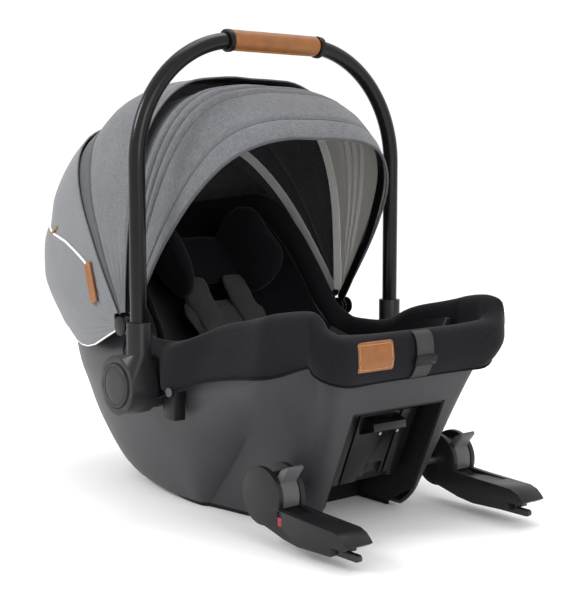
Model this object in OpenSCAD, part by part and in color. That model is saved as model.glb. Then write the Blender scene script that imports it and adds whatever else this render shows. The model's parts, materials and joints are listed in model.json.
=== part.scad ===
// Infant car seat with built-in lower-anchor connectors, a carry handle and a folding hood.
// X runs across the seat, -Y towards the foot end, +Z up. The origin is on the floor, under the
// middle of the carry handle. All sizes are in millimetres.

/* [Shell] */
// Outside width of the shell at its rim
shell_w = 344; // [330:1:360]
// Reach of the rim from the origin to the foot end
foot_reach = 262; // [255:1:270]
// Reach of the shell from the origin to the head end
head_reach = 345; // [340:1:350]
// Height of the rim beside the handle hubs
rim_z = 190; // [186:1:194]
// Wall thickness of the shell
shell_wall = 3; // [2:0.5:4]
// Thickness of the flat tray under the shell
base_t = 6; // [4:0.5:8]
// Radius of the two front corners in plan
corner_r = 22; // [18:1:26]

/* [Docking recess] */
// Width of the recess in the foot end
recess_w = 148; // [130:1:152]
// Height of the recess above the floor
recess_top = 150; // [140:1:156]
// Depth of the recess from the front face
recess_depth = 40; // [30:1:42]
// Reach of the low opening under the recess, in from the toe
toe_cut = 62; // [40:1:80]
// Wall thickness of the recess tray
recess_wall = 2.5; // [2:0.5:3]

/* [Padding] */
// Thickness of the fabric liner over the foam bucket
liner_t = 6; // [4:0.5:7]
// Thickness of the foam bucket
foam_t = 18; // [14:1:20]
// Thickness of the padded rim outside the shell
rim_pad_t = 8; // [5:0.5:8]
// Thickness of the padded rim inside the shell
rim_inner_t = 14; // [12:0.5:16]
// Height of the padded rim above the shell rim
rim_pad_top = 26; // [20:1:28]
// Drop of the padded rim below the shell rim
rim_pad_drop = 42; // [36:1:46]

/* [Handle] */
// Diameter of the handle tube
tube_d = 20; // [18:0.5:22]
// Height of the tube centreline above the floor
handle_z = 579; // [575:1:600]
// Radius of the two bends of the handle
bend_r = 150; // [140:1:160]
// Length of the leather grip
grip_l = 138; // [122:1:150]
// Diameter of the leather grip
grip_d = 26; // [24.5:0.5:30]
// Height of the handle pivot
hub_z = 165; // [160:1:168]
// Distance of the handle pivot behind the handle tube
hub_back = 18; // [15:1:20]
// Radius of the hub housing
hub_r = 36; // [34:1:38]
// Diameter of the pivot pin
hub_pin_d = 12; // [10:0.5:14]
// Diameter of the release button
hub_button_d = 54; // [48:1:56]
// Travel of the release button
hub_button_travel = 4; // [3:0.5:5]

/* [Hood] */
// Radius of the hood about its pivot, inside the front hoop
hood_r = 296; // [294:1:300]
// Height of the hood pivot
hood_z = 228; // [226:1:230]
// Distance of the hood pivot behind the origin
hood_y = 62; // [60:1:64]
// Thickness of each hood cloth
cloth_t = 2.5; // [2:0.1:2.8]
// Thickness of each hoop strip
hoop_t = 2.5; // [2:0.1:2.8]
// Width of each hoop strip
hoop_w = 12; // [10:1:16]
// Space between two layers that slide past each other
layer_gap = 0.7; // [0.5:0.1:0.8]
// Diameter of the hood pivot pin
hood_pin_d = 8; // [6:0.5:9]

/* [Anchor connectors] */
// Spacing of the two connectors, centre to centre, as vehicles have it
anchor_pitch = 280; // [276:1:284]
// Diameter of the vehicle's anchor bar
anchor_bar_d = 6; // [6:0.1:6.4]
// Width of a connector arm
arm_w = 38; // [34:1:40]
// Height of a connector arm
arm_h = 30; // [28:1:32]
// Length of a connector arm from its pivot to its nose
arm_l = 143; // [138:1:150]
// Radius of the round hub of an arm
arm_hub_r = 33; // [31:1:35]
// Height of the arm pivot
arm_z = 58; // [56:1:62]
// Distance of the arm pivot in front of the origin
arm_y = 180; // [176:1:184]
// Diameter of the arm's pivot pin
arm_pin_d = 10; // [8:0.5:12]

/* [Harness] */
// Width of the harness webbing
web_w = 25; // [20:1:28]
// Thickness of the harness webbing
web_t = 1.6; // [1.4:0.1:2]
// Angle of the backrest above level
recline = 41.5; // [41:0.5:42]
// Travel of the headrest up the backrest
headrest_travel = 45; // [30:1:50]

/* [Hidden] */
$fn = 64;

fit_gap = 0.05;                       // radial clearance of a running pin
case_gap = 0.4;                       // space between two cases that don't slide
pad_gap = 3.0;                        // space between the padding and the shell
shell_half = shell_w / 2;
foot_half = anchor_pitch / 2 - arm_w / 2 - 2;      // the shell stays inside the arms here
head_half = shell_half - 12;          // the head end is slimmer, so the hood can fold round it
hood_half = head_half + rim_pad_t + 4;             // inside of the front hoop
layer = [hood_half,
    hood_half + hoop_t + layer_gap,
    hood_half + hoop_t + cloth_t + 2 * layer_gap,
    hood_half + 2 * hoop_t + cloth_t + 3 * layer_gap,
    hood_half + 2 * hoop_t + 2 * cloth_t + 4 * layer_gap];
hood_outer = layer[4] + cloth_t;
tube_x = max(hood_outer, shell_half + rim_pad_t + 4) + 9 + tube_d / 2;
hub_in = tube_x - 15;                 // inner face of the hub housing
hub_out = tube_x + 21;                // outer face of the hub housing
hub_y = hub_back - 8;
tube_y = -8;
arm_in = anchor_pitch / 2 - arm_w / 2;
arm_out = anchor_pitch / 2 + arm_w / 2;
front_slope = 0.42;                   // lean of the front face, length over height
toe_y = foot_reach - front_slope * 200;

charcoal = [0.24, 0.24, 0.25];
black = [0.07, 0.07, 0.08];
grey_cloth = [0.47, 0.47, 0.49];
leather = [0.55, 0.29, 0.14];

function mix(a, b, t) = a + (b - a) * t;

// The shell's plan changes with height: each of these gives one of its reaches at height z.
function front_reach(z) = z < 28 ? lookup(z, [[0, toe_y - 28], [8, toe_y - 6], [28, toe_y + 12]])
    : toe_y + front_slope * z;
function back_reach(z) = head_reach + lookup(z, [[0, -232], [4, -175], [12, -118], [28, -90], [70, -62],
    [130, -34], [200, 0], [250, 2], [300, -10], [345, -33], [380, -60]]);
function widest(z) = lookup(z, [[0, foot_half - 7], [30, mix(foot_half, shell_half, 0.2)],
    [66, mix(foot_half, shell_half, 0.5)], [100, mix(foot_half, shell_half, 0.74)],
    [130, mix(foot_half, shell_half, 0.88)], [160, shell_half], [190, shell_half], [212, head_half]]);
function toe_half(z) = lookup(z, [[0, foot_half - 33], [30, foot_half - 27], [172, foot_half - 1],
    [240, foot_half + 24]]);
function crease_half(z) = lookup(z, [[0, foot_half - 13], [92, foot_half - 2], [190, shell_half - 6],
    [212, head_half]]);
function crease_y(z) = -6 - 0.95 * min(z, 200);

side_y = 20;          // where the side starts to round into the head end
n_toe = 4;            // columns from the front corner to the crease
n_back = 12;          // columns of the rounded head end, a side
n_half = 8 + n_toe + n_back;      // columns from the middle of the foot end to the middle of the head end
n_cols = 2 * n_half;
power = 2.6;          // squareness of the head end in plan

// Column j of the right half at height z, moved inwards by d.
function half_point(j, z, d) = let (
        f = -front_reach(z) + d, t = toe_half(z) - d, c = crease_half(z) - d, w = widest(z) - d,
        r = corner_r - d, cy = crease_y(z), b = back_reach(z) - d, k = j - 4 - n_toe,
        a = 90 * pow((k - 4) / n_back, 1.7))
    j == 0 ? [0, f] : j == 1 ? [(t - r) / 2, f] : j == 2 ? [t - r, f]
    : j == 3 ? [t - r * (1 - sin(45)), f + r * (1 - cos(45))]
    : k < 0 ? [mix(t, c, (j - 4) / n_toe), mix(f + r, cy, (j - 4) / n_toe)]
    : k < 4 ? [mix(c, w, [0, 0.55, 0.9, 1][k]), mix(cy, side_y, [0, 0.15, 0.35, 0.7][k])]
    : [w * pow(cos(a), 2 / power), side_y + (b - side_y) * pow(sin(a), 2 / power)];
function column(j, z, d) = j <= n_half ? half_point(j, z, d)
    : let (p = half_point(n_cols - j, z, d)) [-p[0], p[1]];

// Height of the shell rim over the distance y from the origin.
function rim_height(y) = rim_z + lookup(y, [[-262, 22], [-250, 32], [-236, 48], [-200, 44], [-110, 28],
    [-30, 0], [20, 0], [60, 32], [90, 72], [140, 126], [180, 156], [230, 170], [300, 160], [345, 150]]);
function rim_at(j) = rim_height(column(j % n_cols, 200, 0)[1]);

levels = [0, 0.02, 0.06, 0.14, 0.26, 0.42, 0.58, 0.74, 0.88, 1];

// Triangles between ring a and ring b of n points; the rings start at those indices.
function band(a, b, n) = [for (j = [0:n - 1]) let (k = (j + 1) % n) each
    [[a + j, b + j, b + k], [a + j, b + k, a + k]]];

// A flat floor for the ring that starts at a, in strips across the seat.
function floor_strips(a) = concat([[for (j = [-3:3]) a + (j + n_cols) % n_cols]],
    [for (j = [3:n_half - 2]) [a + n_cols - j, a + j, a + j + 1, a + n_cols - j - 1]],
    [[a + n_half + 1, a + n_half - 1, a + n_half]]);

module shell_tub() {
    m = len(levels);
    outer = [for (f = levels) for (j = [0:n_cols - 1]) let (z = mix(base_t, rim_at(j), f), p = column(j, z, 0))
        [p[0], p[1], z]];
    inner = [for (f = levels) for (j = [0:n_cols - 1]) let (z = mix(base_t, rim_at(j), f),
        p = column(j, z, shell_wall)) [p[0], p[1], z + shell_wall * (1 - f)]];
    n = m * n_cols;
    faces = concat(
        [for (i = [0:m - 2]) each band(i * n_cols, (i + 1) * n_cols, n_cols)],
        band((m - 1) * n_cols, n + (m - 1) * n_cols, n_cols),
        [for (i = [m - 2:-1:0]) each band(n + (i + 1) * n_cols, n + i * n_cols, n_cols)],
        floor_strips(0),
        [for (f = floor_strips(n)) [for (i = [len(f) - 1:-1:0]) f[i]]]);
    polyhedron(concat(outer, inner), faces, convexity = 6);
}

// The side view of the docking recess, grown by d, as an extrusion of width w.
module recess_block(w, d) {
    top = recess_top + d;
    back = recess_depth + d;
    rotate([90, 0, 90]) translate([0, 0, -w / 2]) linear_extrude(w)
        polygon([[-front_reach(top) - 30, top], [back - front_reach(top - 4), top - 4],
            [back - front_reach(48 + d), 48 + d], [toe_cut + d - front_reach(0), 44 + d],
            [toe_cut + d - front_reach(0), -1], [-front_reach(0) - 60, -1]]);
}

module outer_shell() color(charcoal) difference() {
    shell_tub();
    recess_block(recess_w, 0);
    for (s = [-1, 1])
        translate([s * shell_half, hub_y, hub_z]) rotate([0, 90, 0])
            cylinder(d = hub_pin_d, h = 60, center = true);
    for (s = [-1, 1])
        translate([s * foot_half, -arm_y, arm_z]) rotate([0, 90, 0])
            cylinder(d = arm_pin_d, h = 60, center = true);
    rotate([0, 90, 0]) translate([-hood_z, hood_y, 0])
        cylinder(d = hood_pin_d + 2 * case_gap, h = 3 * shell_half, center = true);
}

module recess_tray() color(black) difference() {
    intersection() {
        recess_block(recess_w - 2 * case_gap, -case_gap);
        rotate([90, 0, 90]) translate([0, 0, -recess_w / 2]) linear_extrude(recess_w)
            polygon([[1 - front_reach(30), 30], [1 - front_reach(recess_top), recess_top],
                [0, recess_top], [0, base_t], [24 - front_reach(8), base_t], [12 - front_reach(20), 20]]);
    }
    recess_block(recess_w - 2 * case_gap - 2 * recess_wall, -case_gap - recess_wall);
}

// Places children on the sloped back of the recess, Z away from it and Y up it.
module on_recess(up, out) {
    lean = atan(front_slope);
    translate([0, recess_depth - recess_wall - case_gap - toe_y, 0]) rotate([90 + lean, 0, 0])
        translate([0, up, out]) children();
}

module recess_plate() color([0.13, 0.13, 0.14]) on_recess(0, 0.6) difference() {
    translate([-recess_w * 0.4, 56, 0]) cube([recess_w * 0.8, 96, 9]);
    for (x = [-0.24, 0.22]) translate([x * recess_w, 50, 4]) cube([3, 110, 7]);
    translate([recess_w * 0.02, 62, 4]) cube([recess_w * 0.17, 18, 6]);
    translate([-recess_w * 0.05, 50, -1]) cube([recess_w * 0.35, 12, 12]);
}

module recess_catch() color([0.1, 0.1, 0.11]) on_recess(126, 10) difference() {
    rotate([90, 0, 90]) translate([0, 0, -26]) linear_extrude(52)
        polygon([[0, 0], [24, 0], [24, 16], [16, 20]]);
    for (s = [-1, 1]) translate([s * 14, 12, 6]) cylinder(d = 4.2, h = 30);
}

module recess_screws() color([0.6, 0.6, 0.62]) on_recess(126, 10)
    for (s = [-1, 1]) translate([s * 14, 12, 6]) cylinder(d = 4.2, h = 13.6);

// The flat tray that the seat stands on.
module base_plate() color(black) difference() {
    linear_extrude(base_t - case_gap) polygon([for (j = [0:n_cols - 1]) column(j, 0, 1.5)]);
    recess_block(recess_w, 0);
}

// The bucket's surface: a U across the seat whose bottom follows the seat and the backrest.
function floor_z(y) = lookup(y, [[-240, 206], [-215, 188], [-190, 166], [-150, 128], [-100, 106],
    [-40, 96], [-10, 100], [50, 142], [150, 232], [230, 300], [296, 330]]);
function bowl_half(y) = lookup(y, [[-228, foot_half - 28], [-210, foot_half - 12], [-185, shell_half - 40],
    [-120, shell_half - 29], [20, shell_half - 28], [60, head_half - 28], [120, head_half - 30],
    [190, head_half - 40], [240, head_half - 62], [268, head_half - 84], [284, head_half - 104]]);
function bowl_z(y, t) = mix(floor_z(y), max(rim_height(y), floor_z(y) + 4), pow(abs(t), 4));
bowl_rows = [-228, -215, -200, -180, -150, -110, -60, -10, 40, 80, 120, 160, 200, 240, 266, 284];
bowl_cols = [-1, -0.93, -0.82, -0.68, -0.5, -0.25, 0, 0.25, 0.5, 0.68, 0.82, 0.93, 1];

// A slab that lies on the bucket's surface, from height lo to height hi above it, inset from its edge.
module bowl_slab(lo, hi, inset) {
    n = len(bowl_cols);
    m = len(bowl_rows);
    function pt(y, t, h) = let (x = t * (bowl_half(y) - inset)) [x, y, bowl_z(y, x / bowl_half(y)) + h];
    pts = [for (h = [hi, lo]) for (y = bowl_rows) for (t = bowl_cols) pt(y, t, h)];
    top = [for (i = [0:m - 2]) for (j = [0:n - 2]) let (a = i * n + j) each
        [[a, a + n, a + n + 1], [a, a + n + 1, a + 1]]];
    k = m * n;
    low = [for (f = top) [k + f[0], k + f[2], k + f[1]]];
    edge = concat([for (j = [0:n - 1]) j], [for (i = [1:m - 1]) i * n + n - 1],
        [for (j = [n - 2:-1:0]) (m - 1) * n + j], [for (i = [m - 2:-1:1]) i * n]);
    e = len(edge);
    wall = [for (i = [0:e - 1]) let (a = edge[i], b = edge[(i + 1) % e]) each
        [[a, b, k + b], [a, k + b, k + a]]];
    polyhedron(pts, concat(top, low, wall), convexity = 6);
}

module foam_bucket() color([0.2, 0.2, 0.2]) bowl_slab(-foam_t, 0, 0);

module seat_liner() color(black) difference() {
    bowl_slab(1.6, liner_t, 1.5);
    translate([-web_w / 2 - 2, -66, 0]) cube([web_w + 4, 8, 400]);
}

// The padded rim: one section swept round the shell's rim, notched over the shell's edge.
module rim_cover() {
    function tangent(j) = let (a = column((j + n_cols - 1) % n_cols, 200, 0), b = column((j + 1) % n_cols, 200, 0))
        (b - a) / norm(b - a);
    hook_in = -shell_wall - pad_gap;
    function drop(j) = rim_pad_drop - lookup(column(j, 200, 0)[1], [[-250, 14], [-222, 4], [-190, 0]]);
    function section(d) = [[pad_gap, 1.5], [pad_gap, -d / 3], [pad_gap, -d * 2 / 3], [pad_gap, -d],
        [rim_pad_t, -d], [rim_pad_t, -d * 2 / 3], [rim_pad_t, -d / 3], [rim_pad_t, 4],
        [rim_pad_t - 2, rim_pad_top - 8], [0, rim_pad_top - 1], [-7, rim_pad_top],
        [-rim_inner_t, rim_pad_top - 8], [-rim_inner_t - shell_wall, 4],
        [-rim_inner_t - shell_wall, -22], [hook_in, -22], [hook_in, 1.5]];
    n = len(section(1));
    pts = [for (j = [0:n_cols - 1]) let (t = tangent(j), o = [t[1], -t[0]])
        for (s = section(drop(j))) let (z = rim_at(j), p = column(j, z + min(s[1], 0), 0))
            [p[0] + s[0] * o[0], p[1] + s[0] * o[1], z + s[1]]];
    faces = [for (j = [0:n_cols - 1]) each
        let (a = j * n, b = ((j + 1) % n_cols) * n) [for (i = [0:n - 1]) let (k = (i + 1) % n) each
            [[a + i, b + k, b + i], [a + i, a + k, b + k]]]];
    color(black) difference() {
        polyhedron(pts, faces, convexity = 8);
        for (s = [-1, 1]) translate([s * (shell_half + 30), hub_y, hub_z]) rotate([0, 90, 0])
            cylinder(r = hub_r + 2, h = 60.5, center = true);
        for (s = [-1, 1]) translate([s * shell_half, hood_y, hood_z]) rotate([0, 90, 0])
            cylinder(d = hood_pin_d + 2 * case_gap, h = 80, center = true);
        for (s = [-1, 1]) translate([s * (head_half + rim_pad_t + 12.2), hood_y, hood_z]) rotate([0, 90, 0])
            cylinder(r = 12.4, h = 20, center = true);
        for (s = [-1, 1]) translate([s * (shell_half + 10), hub_y - hub_r - 13, 158])
            cube([20, 36, 60], center = true);
        rotate([0, 90, 0]) translate([-hub_z, hub_y, 0])
            cylinder(d = hub_pin_d + 2 * case_gap, h = 3 * shell_half, center = true);
    }
}

// A plate with rounded corners, w across, l long and t thick, lying on Z = 0.
module plate(w, l, t, r) {
    linear_extrude(t) union() {
        square([w - 2 * r, l], center = true);
        square([w, l - 2 * r], center = true);
        for (x = [-1, 1]) for (y = [-1, 1]) translate([x * (w / 2 - r), y * (l / 2 - r)]) circle(r);
    }
}

// Places children on the front of the padded rim: X across, Y up, Z forwards.
module on_front(x, h) {
    z = rim_height(-foot_reach);
    translate([x, -front_reach(z) - rim_pad_t - case_gap, z + h]) rotate([90, 0, 0]) children();
}

module leather_tag() color(leather) on_front(-75, 8) plate(54, 34, 2.2, 5);
module adjuster_strap() color(black) on_front(0, 3) plate(web_w, 44, web_t, 1);
module strap_keeper() color([0.12, 0.12, 0.12]) on_front(0, -2)
    translate([0, 0, web_t + case_gap]) plate(34, 12, 2, 3);

// Places children on the backrest, Y up it and Z away from it, above the middle of the liner.
module on_back(up, out) {
    translate([0, 50, floor_z(50) + liner_t]) rotate([recline, 0, 0]) translate([0, up, out]) children();
}

module insert_back_pad() color([0.09, 0.09, 0.1]) on_back(62, 14) plate(152, 130, 12, 40);
module insert_seat_pad() color([0.09, 0.09, 0.1]) translate([0, -34, 0]) difference() {
    translate([0, 0, floor_z(-40) + liner_t + 11]) plate(124, 54, 10, 22);
    translate([0, -26, 0]) plate(web_w + 8, 24, 400, 3);
}
module crotch_strap() color(black) translate([0, -64, floor_z(-62) + liner_t + 1]) rotate([70, 0, 0])
    translate([0, 18, 0]) plate(web_w, 34, web_t, 1);

buckle_at = [0, -36, 152];
module on_buckle(out) translate(buckle_at) rotate([30, 0, 0]) translate([0, 0, out]) children();
module buckle_body() color(charcoal) on_buckle(0) difference() {
    plate(50, 60, 16, 12);
    translate([0, -6, 5]) plate(20.8, 22.8, 20, 4.4);
    for (s = [-1, 1]) translate([s * 12, 26, 4.5]) cube([15, 22, 7], center = true);
}
module buckle_button() color([0.6, 0.05, 0.05]) on_buckle(9) translate([0, -6, 0]) plate(20, 22, 8.5, 4);
module tongue(s) color([0.6, 0.6, 0.62]) on_buckle(3) translate([s * 12, 30, 0]) plate(14, 26, 3, 3);

module shoulder_strap(s) color([0.3, 0.3, 0.31]) on_back(54, 27) translate([s * 38, 0, 0])
    plate(web_w, 164, web_t, 1);
module shoulder_pad(s) color([0.1, 0.1, 0.1]) on_back(66, 29.4) translate([s * 38, 0, 0])
    plate(50, 128, 9, 18);
module lap_strap(s) color([0.3, 0.3, 0.31]) translate([s * 60, 0, 152]) rotate([12, s * 38, s * 18])
    plate(58, web_w, web_t, 1);

// The headrest lies on the backrest above the insert and slides up it.
module headrest_shell() color(charcoal) on_back(186, 14) plate(130, 84, 4, 20);
module headrest_pad() color([0.08, 0.08, 0.09]) on_back(186, 18.6) union() {
    plate(166, 92, 12, 34);
    for (s = [-1, 1]) translate([s * 74, 0, 6]) rotate([0, -s * 62, 0]) translate([s * 30, -12, 0])
        plate(74, 112, 12, 34);
}

module hub_mount(s) color(charcoal) difference() {
    translate([s * (shell_half + case_gap), hub_y, hub_z]) rotate([0, s * 90, 0])
        cylinder(r = hub_r - 4, h = hub_in - shell_half - 2 * case_gap);
    translate([s * shell_half, hub_y, hub_z]) rotate([0, 90, 0])
        cylinder(d = hub_pin_d, h = 90, center = true);
}
module hub_pins() color([0.65, 0.65, 0.67]) for (s = [-1, 1])
    translate([s * (shell_half - 12), hub_y, hub_z]) rotate([0, s * 90, 0])
        cylinder(d = hub_pin_d, h = hub_out - 14 - shell_half + 12);

// The slot at the front of each hub, where a stroller's adapter post goes in from below.
module adapter_socket(s) color([0.08, 0.08, 0.09]) {
    depth = 16;
    translate([s * (shell_half + depth / 2 + 1.2), hub_y - hub_r - 17, 118]) difference() {
        translate([0, 0, 38]) cube([depth, 26, 58], center = true);
        translate([0, 0, 30]) cube([depth - 7, 17, 60], center = true);
    }
}

// Sweeps its 2D child along the handle: the top, the two bends and the legs down to leg_foot.
module handle_arch(leg_foot) {
    flat_half = tube_x - bend_r;
    bend_z = handle_z - bend_r;
    translate([0, tube_y, handle_z]) rotate([0, 90, 0]) linear_extrude(2 * flat_half, center = true) children();
    for (s = [0, 1]) mirror([s, 0, 0]) translate([flat_half, tube_y, bend_z]) {
        rotate([90, 0, 0]) rotate_extrude(angle = 90) translate([bend_r, 0]) children();
        translate([bend_r, 0, leg_foot - bend_z]) linear_extrude(bend_z - leg_foot) children();
    }
}

module handle_tube() color(black) handle_arch(hub_z + 30) circle(d = tube_d);

// Length round the bend that the grip takes at each end, as an angle.
grip_bend = (grip_l / 2 - (tube_x - bend_r)) / bend_r * 180 / PI;
module ring_2d(outer, inner) difference() {
    circle(d = outer);
    circle(d = inner);
}
module grip_part(from_a, to_a, outer) {
    flat_half = tube_x - bend_r;
    for (s = [0, 1]) mirror([s, 0, 0]) translate([flat_half, tube_y, handle_z - bend_r]) rotate([90, 0, 0])
        rotate([0, 0, 90 - from_a]) mirror([0, 1, 0]) rotate_extrude(angle = to_a - from_a)
            translate([bend_r, 0]) ring_2d(outer, tube_d);
}
module handle_grip() color(leather) {
    flat = 2 * (tube_x - bend_r);
    translate([0, tube_y, handle_z]) rotate([0, 90, 0]) linear_extrude(flat, center = true)
        ring_2d(grip_d, tube_d);
    grip_part(0, grip_bend, grip_d);
}
module grip_collars() color(black) grip_part(grip_bend + 0.1, grip_bend + 2.6, grip_d + 2);

// Hub housing of the handle: a round case round the pivot and a socket that takes the tube's leg.
module hub_housing(s) color(charcoal) difference() {
    union() {
        hull() {
            translate([s * hub_in, hub_y, hub_z]) rotate([0, s * 90, 0])
                cylinder(r = hub_r, h = hub_out - hub_in);
            translate([s * tube_x, tube_y, hub_z - 14]) cylinder(d = 29, h = 52);
        }
        translate([s * tube_x, tube_y, hub_z]) cylinder(d = 29, h = 76);
    }
    translate([s * tube_x, tube_y, hub_z + 30]) cylinder(d = tube_d, h = 100);
    translate([s * (hub_in - 1), hub_y, hub_z]) rotate([0, s * 90, 0])
        cylinder(d = hub_pin_d + 2 * fit_gap, h = hub_out - hub_in - 12);
    translate([s * (hub_out - 12), hub_y, hub_z]) rotate([0, s * 90, 0])
        cylinder(d = hub_button_d + 1, h = 20);
}
module hub_button(s) color(charcoal) translate([s * (hub_out - 7), hub_y, hub_z]) rotate([0, s * 90, 0])
    cylinder(d = hub_button_d, h = 8);

// Half the width of the hood at distance r from its pivot, and the band between two such outlines.
hood_power = 3.5;
hood_steps = 14;
function hood_curve(w, r, start) = let (a0 = asin(pow(start / r, hood_power / 2)))
    [for (i = [0:hood_steps]) let (a = mix(a0, 90, i / hood_steps))
        [r * pow(sin(a), 2 / hood_power), w * pow(cos(a), 2 / hood_power)]];
function flip(pts) = [for (i = [len(pts) - 2:-1:0]) [pts[i][0], -pts[i][1]]];
module hood_band(w, r, t, start) {
    outer = hood_curve(w + t, r + t, start);
    inner = hood_curve(w, r, start);
    back = concat(inner, flip(inner));
    polygon(concat(outer, flip(outer), [for (i = [len(back) - 1:-1:0]) back[i]]));
}
// A cloth panel of the hood between the angles a and b, both above the head end's direction.
module hood_panel(k, r, a, b) translate([0, hood_y, hood_z]) rotate([a, 0, 0]) rotate([90, 0, 90])
    rotate_extrude(angle = b - a) hood_band(layer[k], r, cloth_t, 17);

// A flat hoop of the hood with an eye on the pivot pin at each end, raised by angle a.
module hood_hoop(k, r, a) translate([0, hood_y, hood_z]) rotate([a, 0, 0]) {
    difference() {
        translate([0, 0, -hoop_w / 2]) linear_extrude(hoop_w) rotate([0, 0, 90]) hood_band(layer[k], r, hoop_t, 8);
        rotate([0, 90, 0]) cylinder(r = 8, h = 3 * hood_r, center = true);
    }
    for (s = [-1, 1]) translate([s * layer[k], 0, 0]) rotate([0, s * 90, 0]) difference() {
        cylinder(r = 12, h = hoop_t);
        translate([0, 0, -1]) cylinder(d = hood_pin_d + 2 * fit_gap, h = hoop_t + 2);
    }
}
hood_step = hoop_t + layer_gap;
cloth_step = cloth_t + layer_gap;
visor_r = hood_r + hood_step;
main_hoop_r = visor_r + cloth_step;
main_r = main_hoop_r + hood_step;
rear_r = main_r + cloth_step;
rear_low = -3;        // lower edge of the rear cloth
rear_top = 52;        // front edge of the rear cloth
main_front = 90;      // front edge of the main cloth
visor_front = 124;    // front edge of the visor

module hood_rear_cloth() color(grey_cloth) hood_panel(4, rear_r, rear_low, rear_top);
module hood_main_cloth() color(grey_cloth) hood_panel(3, main_r, rear_top - 8, main_front);
module hood_visor_cloth() color(grey_cloth) hood_panel(1, visor_r, main_front - 6, visor_front);
module hood_main_hoop() color(black) hood_hoop(2, main_hoop_r, main_front - 3);
module hood_visor_hoop() color(black) hood_hoop(0, hood_r, visor_front - 3);
module hood_mounts() color(black) for (s = [-1, 1]) translate([s * head_half, hood_y, hood_z])
    rotate([0, s * 90, 0]) {
        translate([0, 0, -6]) cylinder(d = hood_pin_d, h = hood_outer - head_half + 7.5);
        translate([0, 0, rim_pad_t + 2.6]) cylinder(r = 12, h = layer[0] - head_half - rim_pad_t - 2.6 - case_gap);
        translate([0, 0, hood_outer - head_half + case_gap]) cylinder(r = 12, h = 2);
    }

// Places children at an arm's pivot, turned so that Z points outwards, X forwards and Y up.
module at_arm(s) translate([s * anchor_pitch / 2, -arm_y, arm_z]) mirror([s < 0 ? 1 : 0, 0, 0])
    mirror([0, 1, 0]) rotate([90, 0, 90]) children();

bar_at = [arm_l - 18, -35.5];         // where the vehicle's anchor bar sits, from the pivot
slot_r = anchor_bar_d / 2 + 0.1;
arm_top = bar_at[1] + 22;
arm_foot = arm_top - arm_h;
cheek_t = 6.5;                        // thickness of the two round cheeks of the hub
hook_at = [bar_at[0] - 12, bar_at[1] + 10];

// Side outline of the long part of an arm, with the beak over the bar's slot.
module arm_outline() polygon([[-8, -arm_hub_r + 4], [40, arm_foot + 3], [64, arm_foot], [bar_at[0] - 7, arm_foot + 2],
    [bar_at[0] - 7, bar_at[1] + 4.4], [arm_l - 6, bar_at[1] + 4.4], [arm_l, bar_at[1] + 8],
    [arm_l - 3, bar_at[1] + 12], [arm_l - 10, arm_top - 4], [arm_l - 20, arm_top - 0.5], [60, arm_top + 2],
    [27, arm_top + 4], [10, 0]]);
module arm(s) color(charcoal) at_arm(s) difference() {
    union() {
        for (z = [-arm_w / 2, arm_w / 2 - cheek_t]) translate([0, 0, z]) cylinder(r = arm_hub_r, h = cheek_t);
        cylinder(r = arm_hub_r - 9, h = arm_w, center = true);
        translate([0, 0, -arm_w / 2]) linear_extrude(arm_w) arm_outline();
    }
    translate([0, 0, -arm_w / 2 - 1]) cylinder(d = arm_pin_d + 2 * fit_gap, h = arm_w - 3);
    translate([0, 0, -arm_w / 2 + cheek_t]) linear_extrude(arm_w - 2 * cheek_t) difference() {
        polygon([[0, 0], [90, -36], [90, 60], [-10, 60]]);
        circle(r = arm_hub_r - 9);
        polygon([[0, -60], [0, -12], [38, -15], [60, arm_top], [100, arm_top], [100, -60]]);
    }
    translate([0, 0, -7]) linear_extrude(14) polygon([[bar_at[0] - 26, -60], [bar_at[0] - 26, arm_top - 4.5],
        [arm_l - 12, arm_top - 6], [arm_l - 4, -29], [arm_l - 4, -60]]);
    translate([30, -28, arm_w / 2 - 1.6]) cube([7, 17, 3]);
}
module latch_plate(s) color([0.3, 0.3, 0.31]) at_arm(s) {
    translate([0, 0, -6]) linear_extrude(6) difference() {
        union() {
            translate([bar_at[0] - 24, arm_foot - 3]) square([24, bar_at[1] + 18 - arm_foot]);
            translate([bar_at[0] - 24, arm_foot - 3]) square([arm_l - 6 - bar_at[0] + 24, bar_at[1] - slot_r - arm_foot + 3]);
            translate([arm_l - 6, mix(arm_foot - 3, bar_at[1] - slot_r, 0.5)]) circle(d = bar_at[1] - slot_r - arm_foot + 3);
        }
        translate(bar_at) circle(r = slot_r);
        translate([bar_at[0], bar_at[1] - slot_r]) square([40, 2 * slot_r]);
    }
    translate([hook_at[0], hook_at[1], -6]) cylinder(d = 5, h = 11.5);
}
module hook(s) color([0.36, 0.36, 0.37]) at_arm(s) translate([hook_at[0], hook_at[1], 0.8]) difference() {
    union() {
        cylinder(r = 5, h = 4.5);
        linear_extrude(4.5) polygon([[0, 4.6], [18, 4.6], [20.5, 1], [19, -3.5], [14.5, -1.5], [0, -5]]);
    }
    translate([0, 0, -1]) cylinder(d = 5 + 2 * fit_gap, h = 8);
}
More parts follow.
